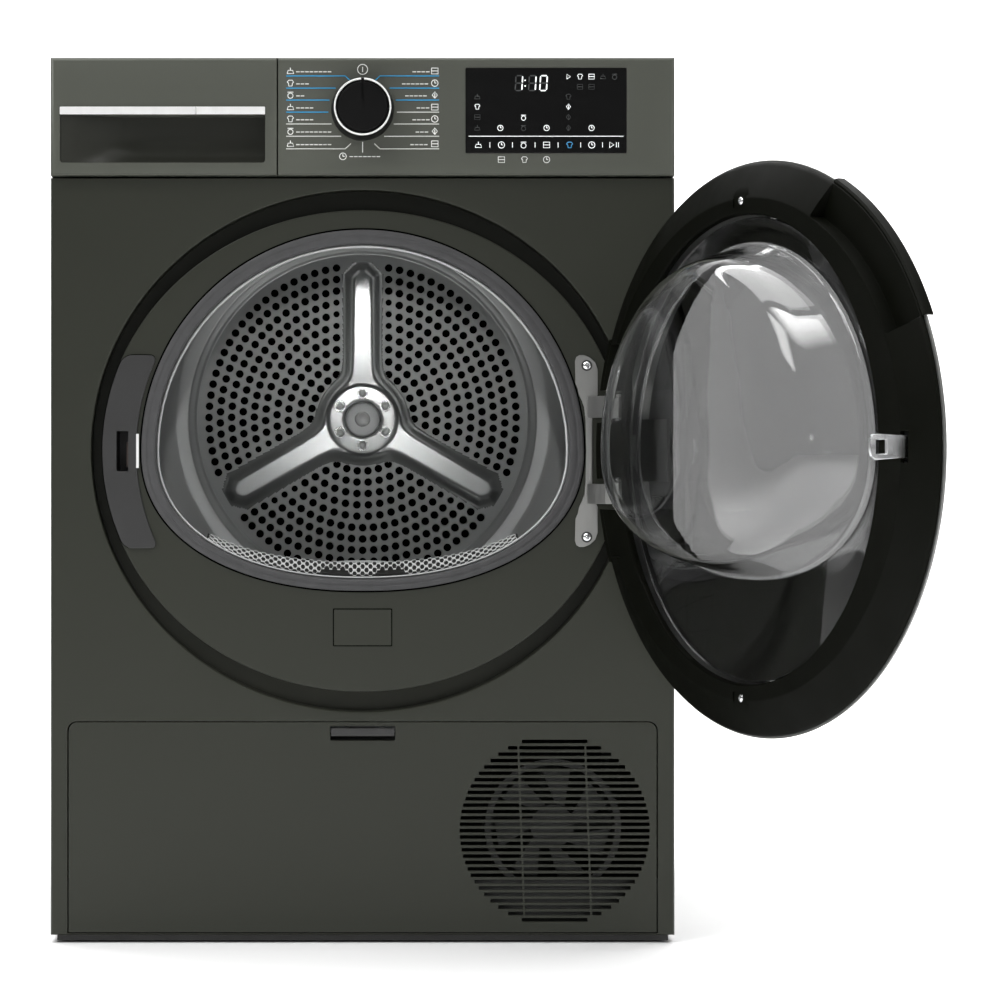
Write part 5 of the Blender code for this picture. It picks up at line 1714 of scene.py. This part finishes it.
def service_flap():
    """The painted flap with its slots, and the edge turned back around it."""
    low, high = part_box("service_flap")
    edge = rounded(low.x, low.z, high.x, high.z, 0.0, 0.0085)
    catch_room = rounded(-0.0310, 0.1943, 0.0310, 0.2080, 0.0010, 0.0010, 3)
    outlines = [edge, catch_room, *grille_slots()]
    face = flat("flap_face", outlines, low.y, low.y + 0.0025, round_edge=0.0004)
    finish(face, "enamel", "flap", "service_flap")
    turned_edge = [
        rounded(low.x + inset, low.z + inset, high.x - inset, high.z - inset, 0.0, corner)
        for inset, corner in ((0.0004, 0.0081), (0.0025, 0.006))
    ]
    finish(flat("flap_rim", turned_edge, low.y + 0.0024, high.y), "enamel", "flap")


def flap_catch():
    """The catch along the flap's upper edge, with the nose that holds it shut."""
    low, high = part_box("flap_catch")
    tongue = box("catch_tongue", (low.x, low.y, 0.1985), (high.x, -0.2728, 0.2062))
    nose = box("nose", (-0.0120, -0.2775, 0.2050), (0.0120, -0.2745, high.z))
    finish(join(tongue, nose), "grey plastic", "catch", "flap_catch", bevel=0.0009)


# Studio ------------------------------


def clear_from_behind(surface):
    """Lets a view from behind a one-sided sheet pass through it."""
    clear = surface.nodes.new("ShaderNodeBsdfTransparent")
    choice = surface.nodes.new("ShaderNodeMixShader")
    behind = surface.nodes.new("ShaderNodeNewGeometry").outputs["Backfacing"]
    surface.links.new(behind, choice.inputs[0])
    surface.links.new(surface.shader.outputs[0], choice.inputs[1])
    surface.links.new(clear.outputs[0], choice.inputs[2])
    output = next(node for node in surface.nodes if node.type == "OUTPUT_MATERIAL")
    surface.links.new(choice.outputs[0], output.inputs["Surface"])


def studio():
    """A pale floor that curves up behind the dryer."""
    form = bmesh.new()
    bend = 1.2
    back = 2.6
    path = [(-6.0, 0.0), (back - bend, 0.0)]
    for i in range(1, 13):
        turn = math.pi / 2 * i / 12
        path.append((back - bend + bend * math.sin(turn), bend - bend * math.cos(turn)))
    path.append((back, 6.0))
    skin(form, add_rows(form, [[(x, y, z) for x in (-7.0, 7.0)] for y, z in path]), looped=False)
    floor = smooth(from_form("studio_floor", form))
    surface = Surface("studio_white", 0.8)
    surface.colours(surface.noise(1.5), (0.86, 0.86, 0.86), (0.90, 0.90, 0.90))
    clear_from_behind(surface)
    floor.data.materials.append(surface.material)


def surround():
    """Plain dim light from all around."""
    world = bpy.data.worlds.new("surround")
    bpy.context.scene.world = world
    world.use_nodes = True
    background = world.node_tree.nodes["Background"].inputs
    background["Color"].default_value = (1, 1, 1, 1)
    background["Strength"].default_value = 0.20


def lights():
    """Broad soft lights, and a small low one that the drum's upper arm mirrors."""
    lamps = (
        ("key", (-1.7, -1.9, 2.7), (-0.1, 0, 0.4), (1.4, 1.4), 40),
        ("fill", (2.4, -2.4, 1.6), (0.1, 0, 0.4), (1.0, 2.0), 15),
        ("front", (0.0, -3.4, 0.74), (0, 0, 0.60), (0.04, 0.15), 2.4),
        ("top", (0, 0.2, 3.0), (0, 0.2, 0), (3.0, 2.0), 60),
        ("floor", (0.2, -1.5, 2.6), (0.2, -1.5, 0), (4.0, 1.0), 32),
        ("backdrop", (0, 0.9, 2.6), (0, 2.6, 0.9), (5.0, 1.2), 168),
    )
    for name, place, aim, size, power in lamps:
        lamp = bpy.data.lights.new(name, "AREA")
        lamp.shape = "RECTANGLE"
        lamp.size, lamp.size_y = size
        lamp.energy = power
        lamp.spread = math.radians(70 if name == "floor" else 180)
        item = bpy.data.objects.new(name, lamp)
        bpy.context.scene.collection.objects.link(item)
        item.location = place
        item.rotation_euler = (Vector(aim) - Vector(place)).to_track_quat("-Z", "Y").to_euler()


def camera():
    """Straight on, a little right of the cabinet's middle in the frame, as for a catalogue."""
    distance = 2.7
    width_in_view = 0.957396
    height = 0.458
    lens = bpy.data.cameras.new("camera")
    lens.sensor_width = 36.0
    lens.lens = lens.sensor_width * distance / width_in_view
    lens.shift_x = 0.1374
    lens.shift_y = -0.035
    item = bpy.data.objects.new("camera", lens)
    bpy.context.scene.collection.objects.link(item)
    item.location = (0, FRONT - distance, height)
    item.rotation_euler = (math.radians(90), 0, 0)
    bpy.context.scene.camera = item
    bpy.context.scene.view_settings.view_transform = "Standard"


camera()
studio()
surround()
lights()
cabinet()
worktop()
front_panel()
rear_fittings()
tank_moulding()
door_seal()
throat_trim()
lock_plate()
blank_plate()
hinge()
control_fascia()
drawer()
knob()
panel_marks()
display()
door_frame()
grip_lip()
door_bezel()
door_window()
glass_bowl()
latch_hook()
drum_star()
rear_wall()
hub()
drum_shell()
lint_filter()
throat_lattice()
filter_handle()
service_flap()
flap_catch()
